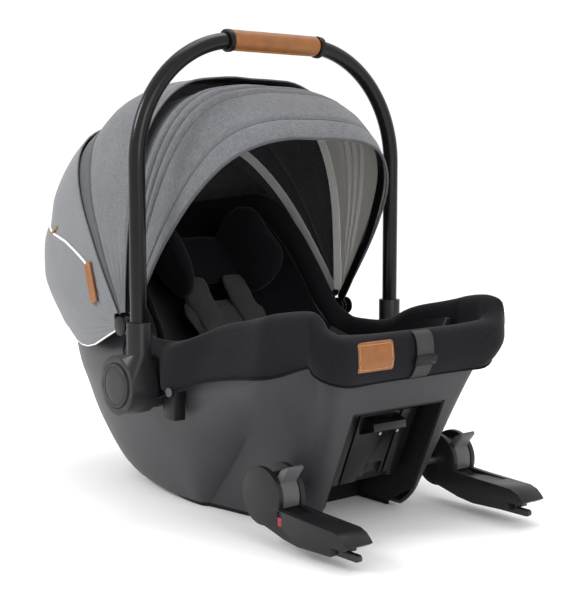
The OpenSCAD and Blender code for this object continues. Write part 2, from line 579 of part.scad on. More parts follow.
// A curved tab between the cheeks, round the arm's pivot, with a lip to pull it by.
module release_tab(s) color([0.5, 0.5, 0.51]) at_arm(s) translate([0, 0, -arm_w / 2 + cheek_t + 1]) {
    wide = arm_w - 2 * cheek_t - 2;
    difference() {
        cylinder(r = arm_hub_r - 1, h = wide);
        translate([0, 0, -1]) cylinder(r = arm_hub_r - 7, h = wide + 2);
        translate([0, 0, -1]) linear_extrude(wide + 2) polygon([[0, 0], [50, 60], [-60, 60], [-60, -60], [60, -60], [60, -18]]);
    }
    linear_extrude(wide) polygon([[18, 20], [26, 32], [37, 38], [39, 35], [31, 25], [25, 15]]);
}
module latch_flag(s) color([0.6, 0.04, 0.06]) at_arm(s) translate([30.3, -27.7, arm_w / 2 - 1.4])
    cube([6.4, 10, 1.3]);
module arm_pins() color([0.65, 0.65, 0.67]) for (s = [-1, 1])
    translate([s * (foot_half - 14), -arm_y, arm_z]) rotate([0, s * 90, 0])
        cylinder(d = arm_pin_d, h = arm_in + arm_w - 5 - foot_half + 14);

outer_shell();
recess_tray();
recess_plate();
recess_catch();
recess_screws();
base_plate();
foam_bucket();
seat_liner();
rim_cover();
leather_tag();
adjuster_strap();
strap_keeper();
insert_back_pad();
insert_seat_pad();
crotch_strap();
buckle_body();
buckle_button();
tongue(-1);  // tongue_left
tongue(1);  // tongue_right
shoulder_strap(-1);  // shoulder_strap_left
shoulder_strap(1);  // shoulder_strap_right
shoulder_pad(-1);  // shoulder_pad_left
shoulder_pad(1);  // shoulder_pad_right
lap_strap(-1);  // lap_strap_left
lap_strap(1);  // lap_strap_right
headrest_shell();
headrest_pad();
hub_mount(-1);  // hub_mount_left
hub_mount(1);  // hub_mount_right
hub_pins();
adapter_socket(-1);  // adapter_socket_left
adapter_socket(1);  // adapter_socket_right
handle_tube();
handle_grip();
grip_collars();
hub_housing(-1);  // hub_housing_left
hub_housing(1);  // hub_housing_right
hub_button(-1);  // hub_button_left
hub_button(1);  // hub_button_right
hood_mounts();
hood_rear_cloth();
hood_main_hoop();
hood_main_cloth();
hood_visor_hoop();
hood_visor_cloth();
arm_pins();
arm(-1);  // arm_left
arm(1);  // arm_right
latch_plate(-1);  // latch_plate_left
latch_plate(1);  // latch_plate_right
hook(-1);  // hook_left
hook(1);  // hook_right
release_tab(-1);  // release_tab_left
release_tab(1);  // release_tab_right
latch_flag(-1);  // latch_flag_left
latch_flag(1);  // latch_flag_right
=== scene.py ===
import json
import logging
import math
from collections.abc import Callable, Sequence
from dataclasses import dataclass
from enum import Enum

import bmesh
import bpy
from mathutils import Matrix, Vector, noise

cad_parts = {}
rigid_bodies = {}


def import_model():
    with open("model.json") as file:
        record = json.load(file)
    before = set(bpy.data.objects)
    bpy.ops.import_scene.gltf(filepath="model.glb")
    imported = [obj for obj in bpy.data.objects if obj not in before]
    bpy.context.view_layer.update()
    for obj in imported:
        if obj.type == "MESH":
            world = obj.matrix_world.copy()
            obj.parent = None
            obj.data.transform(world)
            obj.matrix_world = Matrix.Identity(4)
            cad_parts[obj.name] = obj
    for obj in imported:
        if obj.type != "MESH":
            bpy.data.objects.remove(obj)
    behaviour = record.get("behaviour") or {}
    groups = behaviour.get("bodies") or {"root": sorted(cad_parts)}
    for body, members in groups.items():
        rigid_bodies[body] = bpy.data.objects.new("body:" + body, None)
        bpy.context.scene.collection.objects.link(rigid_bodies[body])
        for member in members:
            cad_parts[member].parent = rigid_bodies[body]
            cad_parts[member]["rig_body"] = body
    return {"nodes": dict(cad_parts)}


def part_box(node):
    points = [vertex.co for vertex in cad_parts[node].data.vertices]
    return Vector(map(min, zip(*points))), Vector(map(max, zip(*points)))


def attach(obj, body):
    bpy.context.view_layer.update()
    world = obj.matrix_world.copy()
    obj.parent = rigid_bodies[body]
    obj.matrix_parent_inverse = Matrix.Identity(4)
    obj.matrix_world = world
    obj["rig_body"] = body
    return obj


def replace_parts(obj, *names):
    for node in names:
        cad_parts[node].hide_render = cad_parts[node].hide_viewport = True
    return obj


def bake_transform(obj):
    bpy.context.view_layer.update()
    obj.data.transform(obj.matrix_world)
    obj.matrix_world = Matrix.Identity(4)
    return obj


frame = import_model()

LOG = logging.getLogger("car_seat")
MM = 0.001
# How long a cushion's filling is simulated.
SWELL_FRAMES = 20
# Heights of the bumps in metres.
GRAIN_HEIGHT = 0.0004
THREAD_HEIGHT = 0.0006
# At this scale a wave texture repeats about every millimetre.
WAVE_SCALE = 2000 / 6.2832
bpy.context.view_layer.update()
Row = list[Vector]
Links = dict[str | int, object]


# ---------------------------------------------------------------- colour and finishes


def linear(code: str, alpha: float = 1.0) -> tuple[float, float, float, float]:
    """Turns an sRGB hex colour to linear.

    Args:
        code: Six hex digits, such as "5b5a5c".
        alpha: The fourth value.

    Returns:
        The linear red, green, blue and alpha.
    """
    parts = [int(code[i : i + 2], 16) / 255 for i in (0, 2, 4)]
    r, g, b = (c / 12.92 if c <= 0.04045 else ((c + 0.055) / 1.055) ** 2.4 for c in parts)
    return r, g, b, alpha


def add_node(
    tree: bpy.types.NodeTree, kind: str, settings: dict[str, object], inputs: Links
) -> bpy.types.Node:
    """Adds one shader node.

    Args:
        tree: The material's node tree.
        kind: The node's type, without its "ShaderNode" prefix.
        settings: The node's own properties.
        inputs: Values, or output sockets to link, by the input's name or number.

    Returns:
        The new node.
    """
    made = tree.nodes.new("ShaderNode" + kind)
    for key, value in settings.items():
        setattr(made, key, value)
    for key, value in inputs.items():
        if isinstance(value, bpy.types.NodeSocket):
            tree.links.new(value, made.inputs[key])
        else:
            made.inputs[key].default_value = value
    return made


class Coordinates(Enum):
    """What a pattern is measured on."""

    OBJECT = "Object"
    UV = "UV"


@dataclass(frozen=True)
class Finish:
    """A finish with a colour that varies a little and a fine bumpy grain.

    Colours are sRGB hex codes. The grain and the mottle are the sizes of their patterns in millimetres,
    and depth is the strength of the bump.
    """

    name: str
    dark: str
    light: str
    roughness: float
    grain: float = 1.0
    depth: float = 0.1
    mottle: float = 30.0
    metallic: float = 0.0
    specular: float = 0.5
    sheen: float = 0.0
    coat: float = 0.0
    on: Coordinates = Coordinates.OBJECT

    def build(self) -> bpy.types.Material:
        """Makes the material, or finds the one already made.

        Returns:
            The material.
        """
        found = bpy.data.materials.get(self.name)
        if found:
            return found
        material = bpy.data.materials.new(self.name)
        material.use_nodes = True
        tree = material.node_tree
        shader = tree.nodes["Principled BSDF"]
        shader.inputs["Metallic"].default_value = self.metallic
        shader.inputs["Sheen Weight"].default_value = self.sheen
        shader.inputs["Sheen Roughness"].default_value = 0.4
        shader.inputs["Coat Weight"].default_value = self.coat
        if not self.metallic:
            shader.inputs["Specular IOR Level"].default_value = self.specular
        place = add_node(tree, "TexCoord", {}, {}).outputs[self.on.value]
        self.dress(tree, shader, place)
        return material

    def dress(self, tree: bpy.types.NodeTree, shader: bpy.types.Node, place: bpy.types.NodeSocket) -> None:
        """Adds the colour, roughness and bump.

        Args:
            tree: The material's node tree.
            shader: Its Principled shader.
            place: The coordinates of the patterns.
        """
        cloud = add_node(tree, "TexNoise", {}, {"Vector": place, "Scale": 1000 / self.mottle, "Detail": 3.0})
        grain = add_node(tree, "TexNoise", {}, {"Vector": place, "Scale": 1000 / self.grain, "Detail": 2.0})
        tint = add_node(tree, "Mix", {"data_type": "RGBA"},
                        {0: cloud.outputs[0], 6: linear(self.dark), 7: linear(self.light)})
        tree.links.new(tint.outputs[2], shader.inputs["Base Color"])
        rough = add_node(
            tree, "MapRange", {},
            {0: grain.outputs[0], 3: self.roughness - 0.05, 4: self.roughness + 0.05}
        )
        tree.links.new(rough.outputs[0], shader.inputs["Roughness"])
        bump = add_node(
            tree, "Bump", {},
            {"Strength": self.depth, "Distance": GRAIN_HEIGHT, "Height": grain.outputs[0]}
        )
        tree.links.new(bump.outputs[0], shader.inputs["Normal"])


@dataclass(frozen=True)
class Weave(Finish):
    """A plain weave of two tones of yarn: crossed threads, with fine streaks along them.

    Sizes are in millimetres: the pitch of the threads, and streak, which is four times a streak's width.
    """

    pitch: float = 2.4
    streak: float = 7.0
    contrast: float = 0.5

    def dress(self, tree: bpy.types.NodeTree, shader: bpy.types.Node, place: bpy.types.NodeSocket) -> None:
        """Adds the crossed threads and the yarn streaks.

        Real threads are 0.5 mm apart; these are drawn coarser, so that they show.

        Args:
            tree: The material's node tree.
            shader: Its Principled shader.
            place: The coordinates of the patterns.
        """
        waves = [
            add_node(
                tree, "TexWave", {"bands_direction": way},
                {
                    "Vector": place, "Scale": WAVE_SCALE / self.pitch, "Distortion": 0.6,
                    "Detail": 1.0, "Detail Scale": 2.0
                }
            )
            for way in ("X", "Y")
        ]
        weave = add_node(
            tree, "Math", {"operation": "MULTIPLY"}, {0: waves[0].outputs[1], 1: waves[1].outputs[1]}
        )
        streaks = []
        for stretch in ((1.0, 0.16, 1.0), (0.16, 1.0, 1.0)):
            turned = add_node(tree, "Mapping", {}, {"Vector": place, "Scale": stretch})
            streaks.append(
                add_node(
                    tree, "TexNoise", {},
                    {
                        "Vector": turned.outputs[0], "Scale": 1000 / self.streak * 4, "Detail": 2.0,
                        "Roughness": 0.7
                    }
                )
            )
        yarn = add_node(
            tree, "Math", {"operation": "MULTIPLY"}, {0: streaks[0].outputs[0], 1: streaks[1].outputs[0]}
        )
        cloud = add_node(tree, "TexNoise", {}, {"Vector": place, "Scale": 1000 / self.mottle, "Detail": 2.0})
        both = add_node(tree, "Math", {"operation": "MULTIPLY_ADD"}, {0: yarn.outputs[0], 1: 1.6, 2: -0.25})
        level = add_node(
            tree, "Math", {"operation": "MULTIPLY_ADD"},
            {0: cloud.outputs[0], 1: 0.35, 2: both.outputs[0]}
        )
        level = add_node(tree, "Math", {"operation": "MULTIPLY_ADD", "use_clamp": True},
                         {0: weave.outputs[0], 1: self.contrast, 2: level.outputs[0]})
        tint = add_node(tree, "Mix", {"data_type": "RGBA"},
                        {0: level.outputs[0], 6: linear(self.dark), 7: linear(self.light)})
        tree.links.new(tint.outputs[2], shader.inputs["Base Color"])
        rough = add_node(
            tree, "MapRange", {}, {0: yarn.outputs[0], 3: self.roughness, 4: self.roughness + 0.08}
        )
        tree.links.new(rough.outputs[0], shader.inputs["Roughness"])
        high = add_node(tree, "Math", {"operation": "ADD"}, {0: weave.outputs[0], 1: yarn.outputs[0]})
        bump = add_node(
            tree, "Bump", {},
            {"Strength": self.depth, "Distance": THREAD_HEIGHT, "Height": high.outputs[0]}
        )
        tree.links.new(bump.outputs[0], shader.inputs["Normal"])


@dataclass(frozen=True)
class Hide(Finish):
    """A grain of pebbles or beads, with a colour that darkens in patches."""

    def dress(self, tree: bpy.types.NodeTree, shader: bpy.types.Node, place: bpy.types.NodeSocket) -> None:
        """Adds the pebbles and the patches.

        Args:
            tree: The material's node tree.
            shader: Its Principled shader.
            place: The coordinates of the patterns.
        """
        cells = add_node(tree, "TexVoronoi", {}, {"Vector": place, "Scale": 1000 / self.grain})
        cloud = add_node(tree, "TexNoise", {}, {"Vector": place, "Scale": 1000 / self.mottle, "Detail": 5.0})
        tint = add_node(tree, "Mix", {"data_type": "RGBA"},
                        {0: cloud.outputs[0], 6: linear(self.dark), 7: linear(self.light)})
        tree.links.new(tint.outputs[2], shader.inputs["Base Color"])
        rough = add_node(
            tree, "MapRange", {}, {0: cloud.outputs[0], 3: self.roughness + 0.1, 4: self.roughness - 0.06}
        )
        tree.links.new(rough.outputs[0], shader.inputs["Roughness"])
        bump = add_node(
            tree, "Bump", {},
            {"Strength": self.depth, "Distance": GRAIN_HEIGHT, "Height": cells.outputs[0]}
        )
        tree.links.new(bump.outputs[0], shader.inputs["Normal"])


# Polypropylene, injection moulded with a fine spark-eroded texture: a dull grey with soft highlights.
SHELL_PP = Finish(
    "moulded_polypropylene_grey", "2f2e31", "38373a", 0.46, grain=0.9, depth=0.14, mottle=60, specular=0.3
)
# Glass-filled nylon, moulded: near black, with a slight gloss on its edges.
NYLON = Finish(
    "moulded_nylon_black", "0b0b0d", "111113", 0.38, grain=0.8, depth=0.12, mottle=25, specular=0.2
)
# The same nylon with the grey pigment of the connector arms.
ARM_NYLON = Finish(
    "moulded_nylon_charcoal", "161618", "1e1e20", 0.38, grain=0.8, depth=0.14, mottle=30, specular=0.25
)
# The same grey nylon on the hubs: a touch lighter and glossier than the arms.
HUB_NYLON = Finish(
    "moulded_nylon_hub", "18181a", "202022", 0.34, grain=0.8, depth=0.1, mottle=30, specular=0.25
)
# Polypropylene in a lighter grey: the release tabs and the snaps stand out from what is round them.
TAB_PP = Finish(
    "moulded_polypropylene_light", "4a4a4c", "565658", 0.4, grain=0.9, depth=0.1, mottle=25, specular=0.3
)
# ABS from a polished tool: near black, with sharper highlights than the nylon.
CATCH_ABS = Finish(
    "moulded_abs_dark", "0d0d0f", "141416", 0.26, grain=0.7, depth=0.06, mottle=25, specular=0.3
)
# Polypropylene with a red pigment: a dull signal colour.
RED_PP = Finish("moulded_polypropylene_red", "861a24", "97202a", 0.4, grain=0.9, depth=0.08, mottle=15)
# Extruded aluminium tube with a satin powder coat: dark, smooth, a long soft highlight.
POWDER_COAT = Finish(
    "powder_coated_aluminium", "08080a", "0d0d0e", 0.24, grain=0.5, depth=0.06, mottle=20, specular=0.22,
    coat=0.08
)
# Zinc-plated steel pins and screws: bright with a cloudy satin.
ZINC_STEEL = Finish(
    "zinc_plated_steel", "a8a8a6", "bebebb", 0.32, grain=0.4, depth=0.05, mottle=6, metallic=1.0
)
# Blackened steel hooks: oxide finish, darker and rougher.
BLACK_STEEL = Finish(
    "blackened_steel", "38383a", "4c4c4e", 0.38, grain=0.6, depth=0.08, mottle=8, metallic=0.9
)
# Brass, aged: yellow-brown and cloudy.
BRASS = Finish("antique_brass", "8c6d35", "a5854a", 0.35, grain=0.5, depth=0.05, mottle=5, metallic=1.0)
# Expanded polypropylene foam: bead cells of about 3 mm.
FOAM = Hide("expanded_polypropylene_foam", "2a2a2c", "38383a", 0.8, grain=3.0, depth=0.4, mottle=12)
# Melange polyester canvas: two greys of yarn, a dry matt surface with a slight bloom.
CANVAS = Weave("melange_polyester_canvas", "4c4d51", "85868a", 0.82, depth=0.5, mottle=50, sheen=0.15,
               specular=0.25, on=Coordinates.UV, pitch=2.4, contrast=0.3)
# A finer canvas in two close greys: even, and a little lighter.
CANVAS_SMOOTH = Weave("smooth_polyester_canvas", "67686b", "838487", 0.8, depth=0.15, mottle=60, sheen=0.15,
                      specular=0.25, on=Coordinates.UV, pitch=1.8, contrast=0.12)
# The canvas in a darker grey, for the binding and the main cloth's folded band; on the visor it is painted
# shade, where the visor lies under the main cloth's front edge.
CANVAS_DARK_AND_SHADE = Weave("dark_canvas_and_painted_shade", "45464a", "606165", 0.85, depth=0.3, mottle=40, sheen=0.1,
                    specular=0.2, on=Coordinates.UV, pitch=2.4, contrast=0.3)
# Polyester taffeta: slightly silky, and painted much paler than the cloth's own light grey-beige, as painted
# light for the light that shines through the hood's cloth.
LINING_AND_PAINTED_LIGHT = Weave("taffeta_lining_and_painted_light", "b2b0aa", "cccac4", 0.7, depth=0.15, mottle=40, specular=0.3,
               on=Coordinates.UV, pitch=1.8, contrast=0.15)
# Warp-knit mesh: a coarse pattern of pale threads and dark holes. It is not see-through.
MESH_LINING = Weave("warp_knit_mesh", "2a2a2d", "5c5c60", 0.75, depth=0.6, mottle=30, specular=0.25,
                    on=Coordinates.UV, pitch=3.2, contrast=0.6)
# Grosgrain tape: nearly white, with a fine raised weave.
TAPE = Weave("grosgrain_binding_tape", "e8e8e4", "fafaf6", 0.75, depth=0.4, mottle=10, specular=0.3,
             on=Coordinates.UV, pitch=2.0, contrast=0.3)
# Polyester jersey, brushed: soft charcoal with a faint bloom at grazing angles.
JERSEY = Weave("brushed_jersey_charcoal", "121115", "1d1c20", 0.88, depth=0.25, mottle=60, sheen=0.08,
               specular=0.12, pitch=1.8, contrast=0.2)
# The same jersey in black, for the liner, the headrest and the piping.
JERSEY_DARK = Weave("brushed_jersey_black", "0b0a0e", "141318", 0.9, depth=0.25, mottle=60, sheen=0.08,
                    specular=0.12, pitch=1.8, contrast=0.2)
# Jersey over a thin wadding: a lighter charcoal, matt.
PAD_CLOTH = Weave("quilted_jersey_grey", "2e2e2f", "454546", 0.86, depth=0.3, mottle=40, sheen=0.1,
                  specular=0.15, pitch=1.8, contrast=0.25)
# Polyester seat-belt webbing: strong ribs, drawn about 2.4 mm apart so that they show.
WEBBING = Weave("polyester_webbing_grey", "6a6a6c", "8c8b8e", 0.6, depth=0.6, mottle=20, specular=0.4,
                on=Coordinates.UV, pitch=2.4, contrast=0.5)
# The same webbing in black.
WEBBING_BLACK = Weave("polyester_webbing_black", "111113", "2c2c2f", 0.55, depth=0.6, mottle=20, specular=0.5,
                      on=Coordinates.UV, pitch=2.4, contrast=0.5)
# Saddle leather: warm tan that darkens in patches, pebbles of about 1.5 mm, a soft gloss.
LEATHER = Hide("saddle_leather_tan", "6e3d12", "925a22", 0.4, grain=1.5, depth=0.25, mottle=14)
# Waxed thread for the leather: paler than the hide, so that each stitch shows.
THREAD = Finish("waxed_thread", "b58a55", "caa06a", 0.6, grain=0.6, depth=0.3, mottle=3)
# Polyester thread for the canvas: close to the cloth's own grey, so that the stitching stays quiet.
THREAD_GREY = Finish("polyester_thread_grey", "5a5b5e", "6e6f72", 0.7, grain=0.6, depth=0.3, mottle=3)
# Paper under the seat: white and matt, so that only the shadows show on it.
PAPER = Finish("studio_paper", "fcfcfc", "ffffff", 0.9, grain=2, depth=0.02, mottle=400, specular=0.1)


# ---------------------------------------------------------------- shapes


class Curve:
    """A smooth curve through a table of points that never overshoots them."""

    def __init__(self, points: Sequence[tuple[float, float]]) -> None:
        """Works out the slopes.

        Args:
            points: Pairs of a place and a value, in order of place.
        """
        self.x = [float(p[0]) for p in points]
        self.y = [float(p[1]) for p in points]
        n = len(points)
        step = [(self.y[i + 1] - self.y[i]) / (self.x[i + 1] - self.x[i]) for i in range(n - 1)]
        self.slope = [step[0]] + [
            0.0 if step[i - 1] * step[i] <= 0 else 2 * step[i - 1] * step[i] / (step[i - 1] + step[i])
            for i in range(1, n - 1)
        ] + [step[-1]]

    def __call__(self, x: float) -> float:
        """Gives the curve's value.

        Args:
            x: The place.

        Returns:
            The value there.
        """
        if x <= self.x[0]:
            return self.y[0]
        if x >= self.x[-1]:
            return self.y[-1]
        i = max(k for k in range(len(self.x) - 1) if self.x[k] <= x)
        h = self.x[i + 1] - self.x[i]
        t = (x - self.x[i]) / h
        return ((2 * t**3 - 3 * t**2 + 1) * self.y[i] + (t**3 - 2 * t**2 + t) * h * self.slope[i]
                + (3 * t**2 - 2 * t**3) * self.y[i + 1] + (t**3 - t**2) * h * self.slope[i + 1])


def mix(a: float, b: float, t: float) -> float:
    """Gives the value a share t of the way from a to b."""
    return a + (b - a) * t


def ease(a: float, b: float, x: float) -> float:
    """Gives 0 before a, 1 after b, and turns smoothly between them."""
    t = min(1.0, max(0.0, (x - a) / (b - a)))
    return t * t * (3 - 2 * t)


def ripple(x: float, y: float, z: float, size: float) -> float:
    """Gives smooth noise from about -1 to 1 whose lumps are size millimetres apart."""
    return noise.noise(Vector((x / size, y / size, z / size)))


def link(mesh: bpy.types.Mesh, name: str) -> bpy.types.Object:
    """Puts a mesh in the scene.

    Args:
        mesh: The mesh.
        name: The new object's name.

    Returns:
        The new object.
    """
    made = bpy.data.objects.new(name, mesh)
    bpy.context.scene.collection.objects.link(made)
    return made


def only(piece: bpy.types.Object) -> None:
    """Selects one object alone, and makes it active.

    Args:
        piece: The object.
    """
    bpy.ops.object.select_all(action="DESELECT")
    piece.select_set(True)
    bpy.context.view_layer.objects.active = piece


def skin(name: str, rows: Sequence[Row], ring: bool = False, loop: bool = False, caps: bool = False,
         centre: Vector | None = None) -> bpy.types.Object:
    """Makes a surface through rows of points, with its UV map in metres along the cloth.

    Args:
        name: The object's name.
        rows: Rows of as many points each, in millimetres.
        ring: Whether each row closes on itself.
        loop: Whether the last row joins the first.
        caps: Whether the first and last rows are filled.
        centre: A point inside, which an open surface faces away from.

    Returns:
        The new object.
    """
    mesh = bpy.data.meshes.new(name)
    work = bmesh.new()
    verts = [[work.verts.new(p * MM) for p in row] for row in rows]
    along = work.loops.layers.uv.new("UVMap")
    n, m = len(rows), len(rows[0])
    across = [[0.0] * (m + 1) for _ in rows]
    for i, row in enumerate(rows):
        for j in range(m):
            across[i][j + 1] = across[i][j] + (row[(j + 1) % m] - row[j]).length * MM
    down = [0.0] * (n + 1)
    for i in range(n):
        down[i + 1] = down[i] + max(
            (rows[(i + 1) % n][j] - rows[i][j]).length for j in range(0, m, max(1, m // 6))
        ) * MM
    middle = [across[i][m if ring else m - 1] / 2 for i in range(n)]
    for i in range(n if loop else n - 1):
        for j in range(m if ring else m - 1):
            corners = [(i, j), (i, j + 1), (i + 1, j + 1), (i + 1, j)]
            face = work.faces.new([verts[a % n][b % m] for a, b in corners])
            for corner, (a, b) in zip(face.loops, corners):
                corner[along].uv = (across[a % n][b] - middle[a % n], down[a])
    if caps:
        work.faces.new(verts[0])
        work.faces.new(list(reversed(verts[-1])))
    if centre is None:
        bmesh.ops.recalc_face_normals(work, faces=work.faces)
    else:
        work.normal_update()
        lean = sum((f.normal.dot(f.calc_center_median() - centre * MM) * f.calc_area() for f in work.faces))
        if lean < 0:
            bmesh.ops.reverse_faces(work, faces=work.faces)
    work.to_mesh(mesh)
    work.free()
    return link(mesh, name)


def tube(
    name: str, path: Sequence[Vector], radius: float, closed: bool = False, sides: int = 8
) -> bpy.types.Object:
    """Makes a thin round cord, seam or pipe along a path.

    Args:
        name: The object's name.
        path: The points it follows, in millimetres.
        radius: Its radius in millimetres.
        closed: Whether it joins up with its start.
        sides: How many sides it has.

    Returns:
        The new object.
    """
    rows: list[Row] = []
    n = len(path)
    turns = [2 * math.pi * k / sides for k in range(sides)]
    normal = Vector((0.31, 0.2, 0.93))
    for i, p in enumerate(path):
        back = path[(i - 1) % n] if closed or i else p
        ahead = path[(i + 1) % n] if closed or i < n - 1 else p
        way = (ahead - back).normalized()
        normal = (normal - way * normal.dot(way)).normalized()
        side = way.cross(normal)
        rows.append([p + (normal * math.cos(t) + side * math.sin(t)) * radius for t in turns])
    return skin(name, rows, ring=True, loop=closed, caps=not closed)


def stitches(
    name: str, path: Sequence[Vector], radius: float, every: float = 4.0, gap: float = 0.35
) -> bpy.types.Object:
    """Makes a row of sewn stitches along a path.

    Args:
        name: The object's name.
        path: The points it follows, in millimetres.
        radius: The thread's radius.
        every: How far apart the stitches start.
        gap: The share of that which is empty.

    Returns:
        One object with all the stitches.
    """
    lengths = [0.0]
    for a, b in zip(path, path[1:]):
        lengths.append(lengths[-1] + (b - a).length)

    def at(s: float) -> Vector:
        """Gives the point a distance s along the path."""
        i = max(k for k in range(len(path) - 1) if lengths[k] <= s + 1e-9)
        return path[i].lerp(path[i + 1], (s - lengths[i]) / max(1e-6, lengths[i + 1] - lengths[i]))

    made = []
    count = int(lengths[-1] / every)
    for k in range(count):
        s = k * every
        ends = [at(s), at(s + every * (1 - gap) / 2), at(s + every * (1 - gap))]
        made.append(tube(f"{name}_{k}", ends, radius, sides=5))
    return join(made, name)


def join(parts: Sequence[bpy.types.Object], name: str) -> bpy.types.Object:
    """Joins objects into one.

    Args:
        parts: The objects.
        name: The name of the result.

    Returns:
        The joined object.
    """
    bpy.ops.object.select_all(action="DESELECT")
    for part in parts:
        part.select_set(True)
    bpy.context.view_layer.objects.active = parts[0]
    if len(parts) > 1:
        bpy.ops.object.join()
    parts[0].name = name
    parts[0].data.name = name
    return parts[0]


def modify(piece: bpy.types.Object, kind: str, **settings: object) -> bpy.types.Object:
    """Adds a modifier to a piece and applies it.

    Args:
        piece: The piece.
        kind: The modifier's type.
        settings: The modifier's own properties.

    Returns:
        The same piece.
    """
    only(piece)
    made = piece.modifiers.new(kind.lower(), kind)
    for key, value in settings.items():
        setattr(made, key, value)
    bpy.ops.object.modifier_apply(modifier=made.name)
    return piece


def smooth(piece: bpy.types.Object, angle: float = 35.0) -> bpy.types.Object:
    """Shades a piece smooth, except at its sharp edges.

    Args:
        piece: The piece.
        angle: The sharpness in degrees past which an edge stays sharp.

    Returns:
        The same piece.
    """
    only(piece)
    bpy.ops.object.shade_smooth_by_angle(angle=math.radians(angle))
    return piece


def paint(piece: bpy.types.Object, *finishes: Finish) -> bpy.types.Object:
    """Gives a piece its materials.

    Args:
        piece: The piece.
        finishes: Its finishes, in the order of its material slots.

    Returns:
        The same piece.
    """
    piece.data.materials.clear()
    for finish in finishes:
        piece.data.materials.append(finish.build())
    return piece


def seat_on(piece: bpy.types.Object, body: str, slot: str, *nodes: str) -> bpy.types.Object:
    """Makes a finished piece ride on a body and stand for CAD nodes.

    Args:
        piece: The piece.
        body: The body that it moves with.
        slot: The record's material slot. It is not used.
        nodes: The CAD nodes that it replaces.

    Returns:
        The piece.
    """
    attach(piece, body)
    if nodes:
        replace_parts(piece, *nodes)
    LOG.info("%s: %d faces on %s", piece.name, len(piece.data.polygons), body)
    return piece


def edged_copy(
    node: str, finish: Finish, slot: str, width: float = 0.8, angle: float = 30.0
) -> bpy.types.Object:
    """Makes a copy of a CAD node with rounded edges, which stands for it.

    Args:
        node: The CAD node.
        finish: Its finish.
        slot: The record's material slot.
        width: The width of the rounding in millimetres.
        angle: The sharpness in degrees past which an edge is rounded.

    Returns:
        The new piece.
    """
    source = frame["nodes"][node]
    body = source["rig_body"]
    piece = link(source.data.copy(), node + "_edged")
    only(piece)
    bpy.ops.mesh.customdata_custom_splitnormals_clear()
    work = bmesh.new()
    work.from_mesh(piece.data)
    bmesh.ops.remove_doubles(work, verts=work.verts, dist=1e-5)
    bmesh.ops.dissolve_limit(work, angle_limit=math.radians(0.5), verts=work.verts, edges=work.edges)
    work.to_mesh(piece.data)
    work.free()
    modify(
        piece, "BEVEL", width=width * MM, segments=2, limit_method="ANGLE",
        angle_limit=math.radians(angle), use_clamp_overlap=True, miter_outer="MITER_ARC"
    )
    smooth(piece, 40)
    paint(piece, finish)
    return seat_on(piece, body, slot, node)


def swell(piece: bpy.types.Object, voxel: float, cap: float, pressure: float = 4.0) -> bpy.types.Object:
    """Fills a closed shape like a cushion, by a short cloth simulation, and leaves a plain mesh.

    Args:
        piece: The closed shape.
        voxel: The size in millimetres of the simulated mesh's faces.
        cap: How far in millimetres a point may move.
        pressure: The filling's pressure.

    Returns:
        The same piece, filled.
    """
    modify(piece, "REMESH", mode="VOXEL", voxel_size=voxel * MM)
    rest = [v.co.copy() for v in piece.data.vertices]
    cloth = piece.modifiers.new("cloth", "CLOTH")
    cloth.settings.use_pressure = True
    cloth.settings.uniform_pressure_force = pressure
    cloth.settings.effector_weights.gravity = 0
    cloth.point_cache.frame_start = 1
    cloth.point_cache.frame_end = SWELL_FRAMES
    scene = bpy.context.scene
    for k in range(1, SWELL_FRAMES + 1):
        scene.frame_set(k)
    moved = piece.evaluated_get(bpy.context.evaluated_depsgraph_get()).to_mesh()
    goals = [v.co.copy() for v in moved.vertices]
    piece.modifiers.remove(cloth)
    scene.frame_set(1)
    for v, start, goal in zip(piece.data.vertices, rest, goals):
        step = goal - start
        v.co = start + step * min(1.0, cap * MM / max(step.length, 1e-9))
    modify(piece, "SMOOTH", factor=0.5, iterations=6)
    modify(piece, "SUBSURF", levels=1, render_levels=1)
    return piece


def outline_pad(
    name: str, outline: Sequence[tuple[float, float]], thickness: float,
    place: Callable[[float, float, float], Vector], bend: float = 0.0
) -> bpy.types.Object:
    """Makes the starting shape of a sewn pad from its outline.

    Args:
        name: The object's name.
        outline: The outline, in millimetres, round a middle at the origin.
        thickness: The thickness at the middle.
        place: Turns across, up and out in the pad's own frame to a point of the seat.
        bend: How far the pad's two sides come forward of its middle.

    Returns:
        The new closed shape.
    """
    wide = max(abs(p[0]) for p in outline)
    rows = []
    for share, height in (
        (0.02, -0.5), (0.5, -0.5), (0.85, -0.46), (0.97, -0.3), (1.0, 0.0), (0.97, 0.3), (0.85, 0.46),
        (0.5, 0.5), (0.02, 0.5)
    ):
        rows.append(
            [
                place(x * share, y * share, thickness * height + bend * (x * share / wide) ** 2)
                for x, y in outline
            ]
        )
    return skin(name, rows, ring=True, caps=True)


def rounded(
    width: float, length: float, radius: float, pinch: float = 0.0, steps: int = 8
) -> list[tuple[float, float]]:
    """Gives the outline of a plate with round corners.

    Args:
        width: The plate's width.
        length: Its length.
        radius: The radius of its corners.
        pinch: How far its sides are drawn in at their middles.
        steps: How many steps make a corner.

    Returns:
        The points of the outline, less than 16 mm apart.
    """

    def drawn(x: float, y: float) -> float:
        """Draws a point of a side in."""
        if abs(x) <= width / 2 - radius:
            return x
        return x * (1 - pinch * (1 - (2 * y / length) ** 2) * 2 / width)

    points = []
    for sx, sy, start in ((1, -1, -90), (1, 1, 0), (-1, 1, 90), (-1, -1, 180)):
        for k in range(steps + 1):
            a = math.radians(start + 90 * k / steps)
            points.append(
                (
                    sx * (width / 2 - radius) + radius * math.cos(a),
                    sy * (length / 2 - radius) + radius * math.sin(a)
                )
            )
    filled = []
    for (ax, ay), (bx, by) in zip(points, points[1:] + points[:1]):
        count = max(1, int(math.hypot(bx - ax, by - ay) / 8))
        filled += [(mix(ax, bx, k / count), mix(ay, by, k / count)) for k in range(count)]
    return [(drawn(x, y), y) for x, y in filled]


# ---------------------------------------------------------------- the shell and its padding


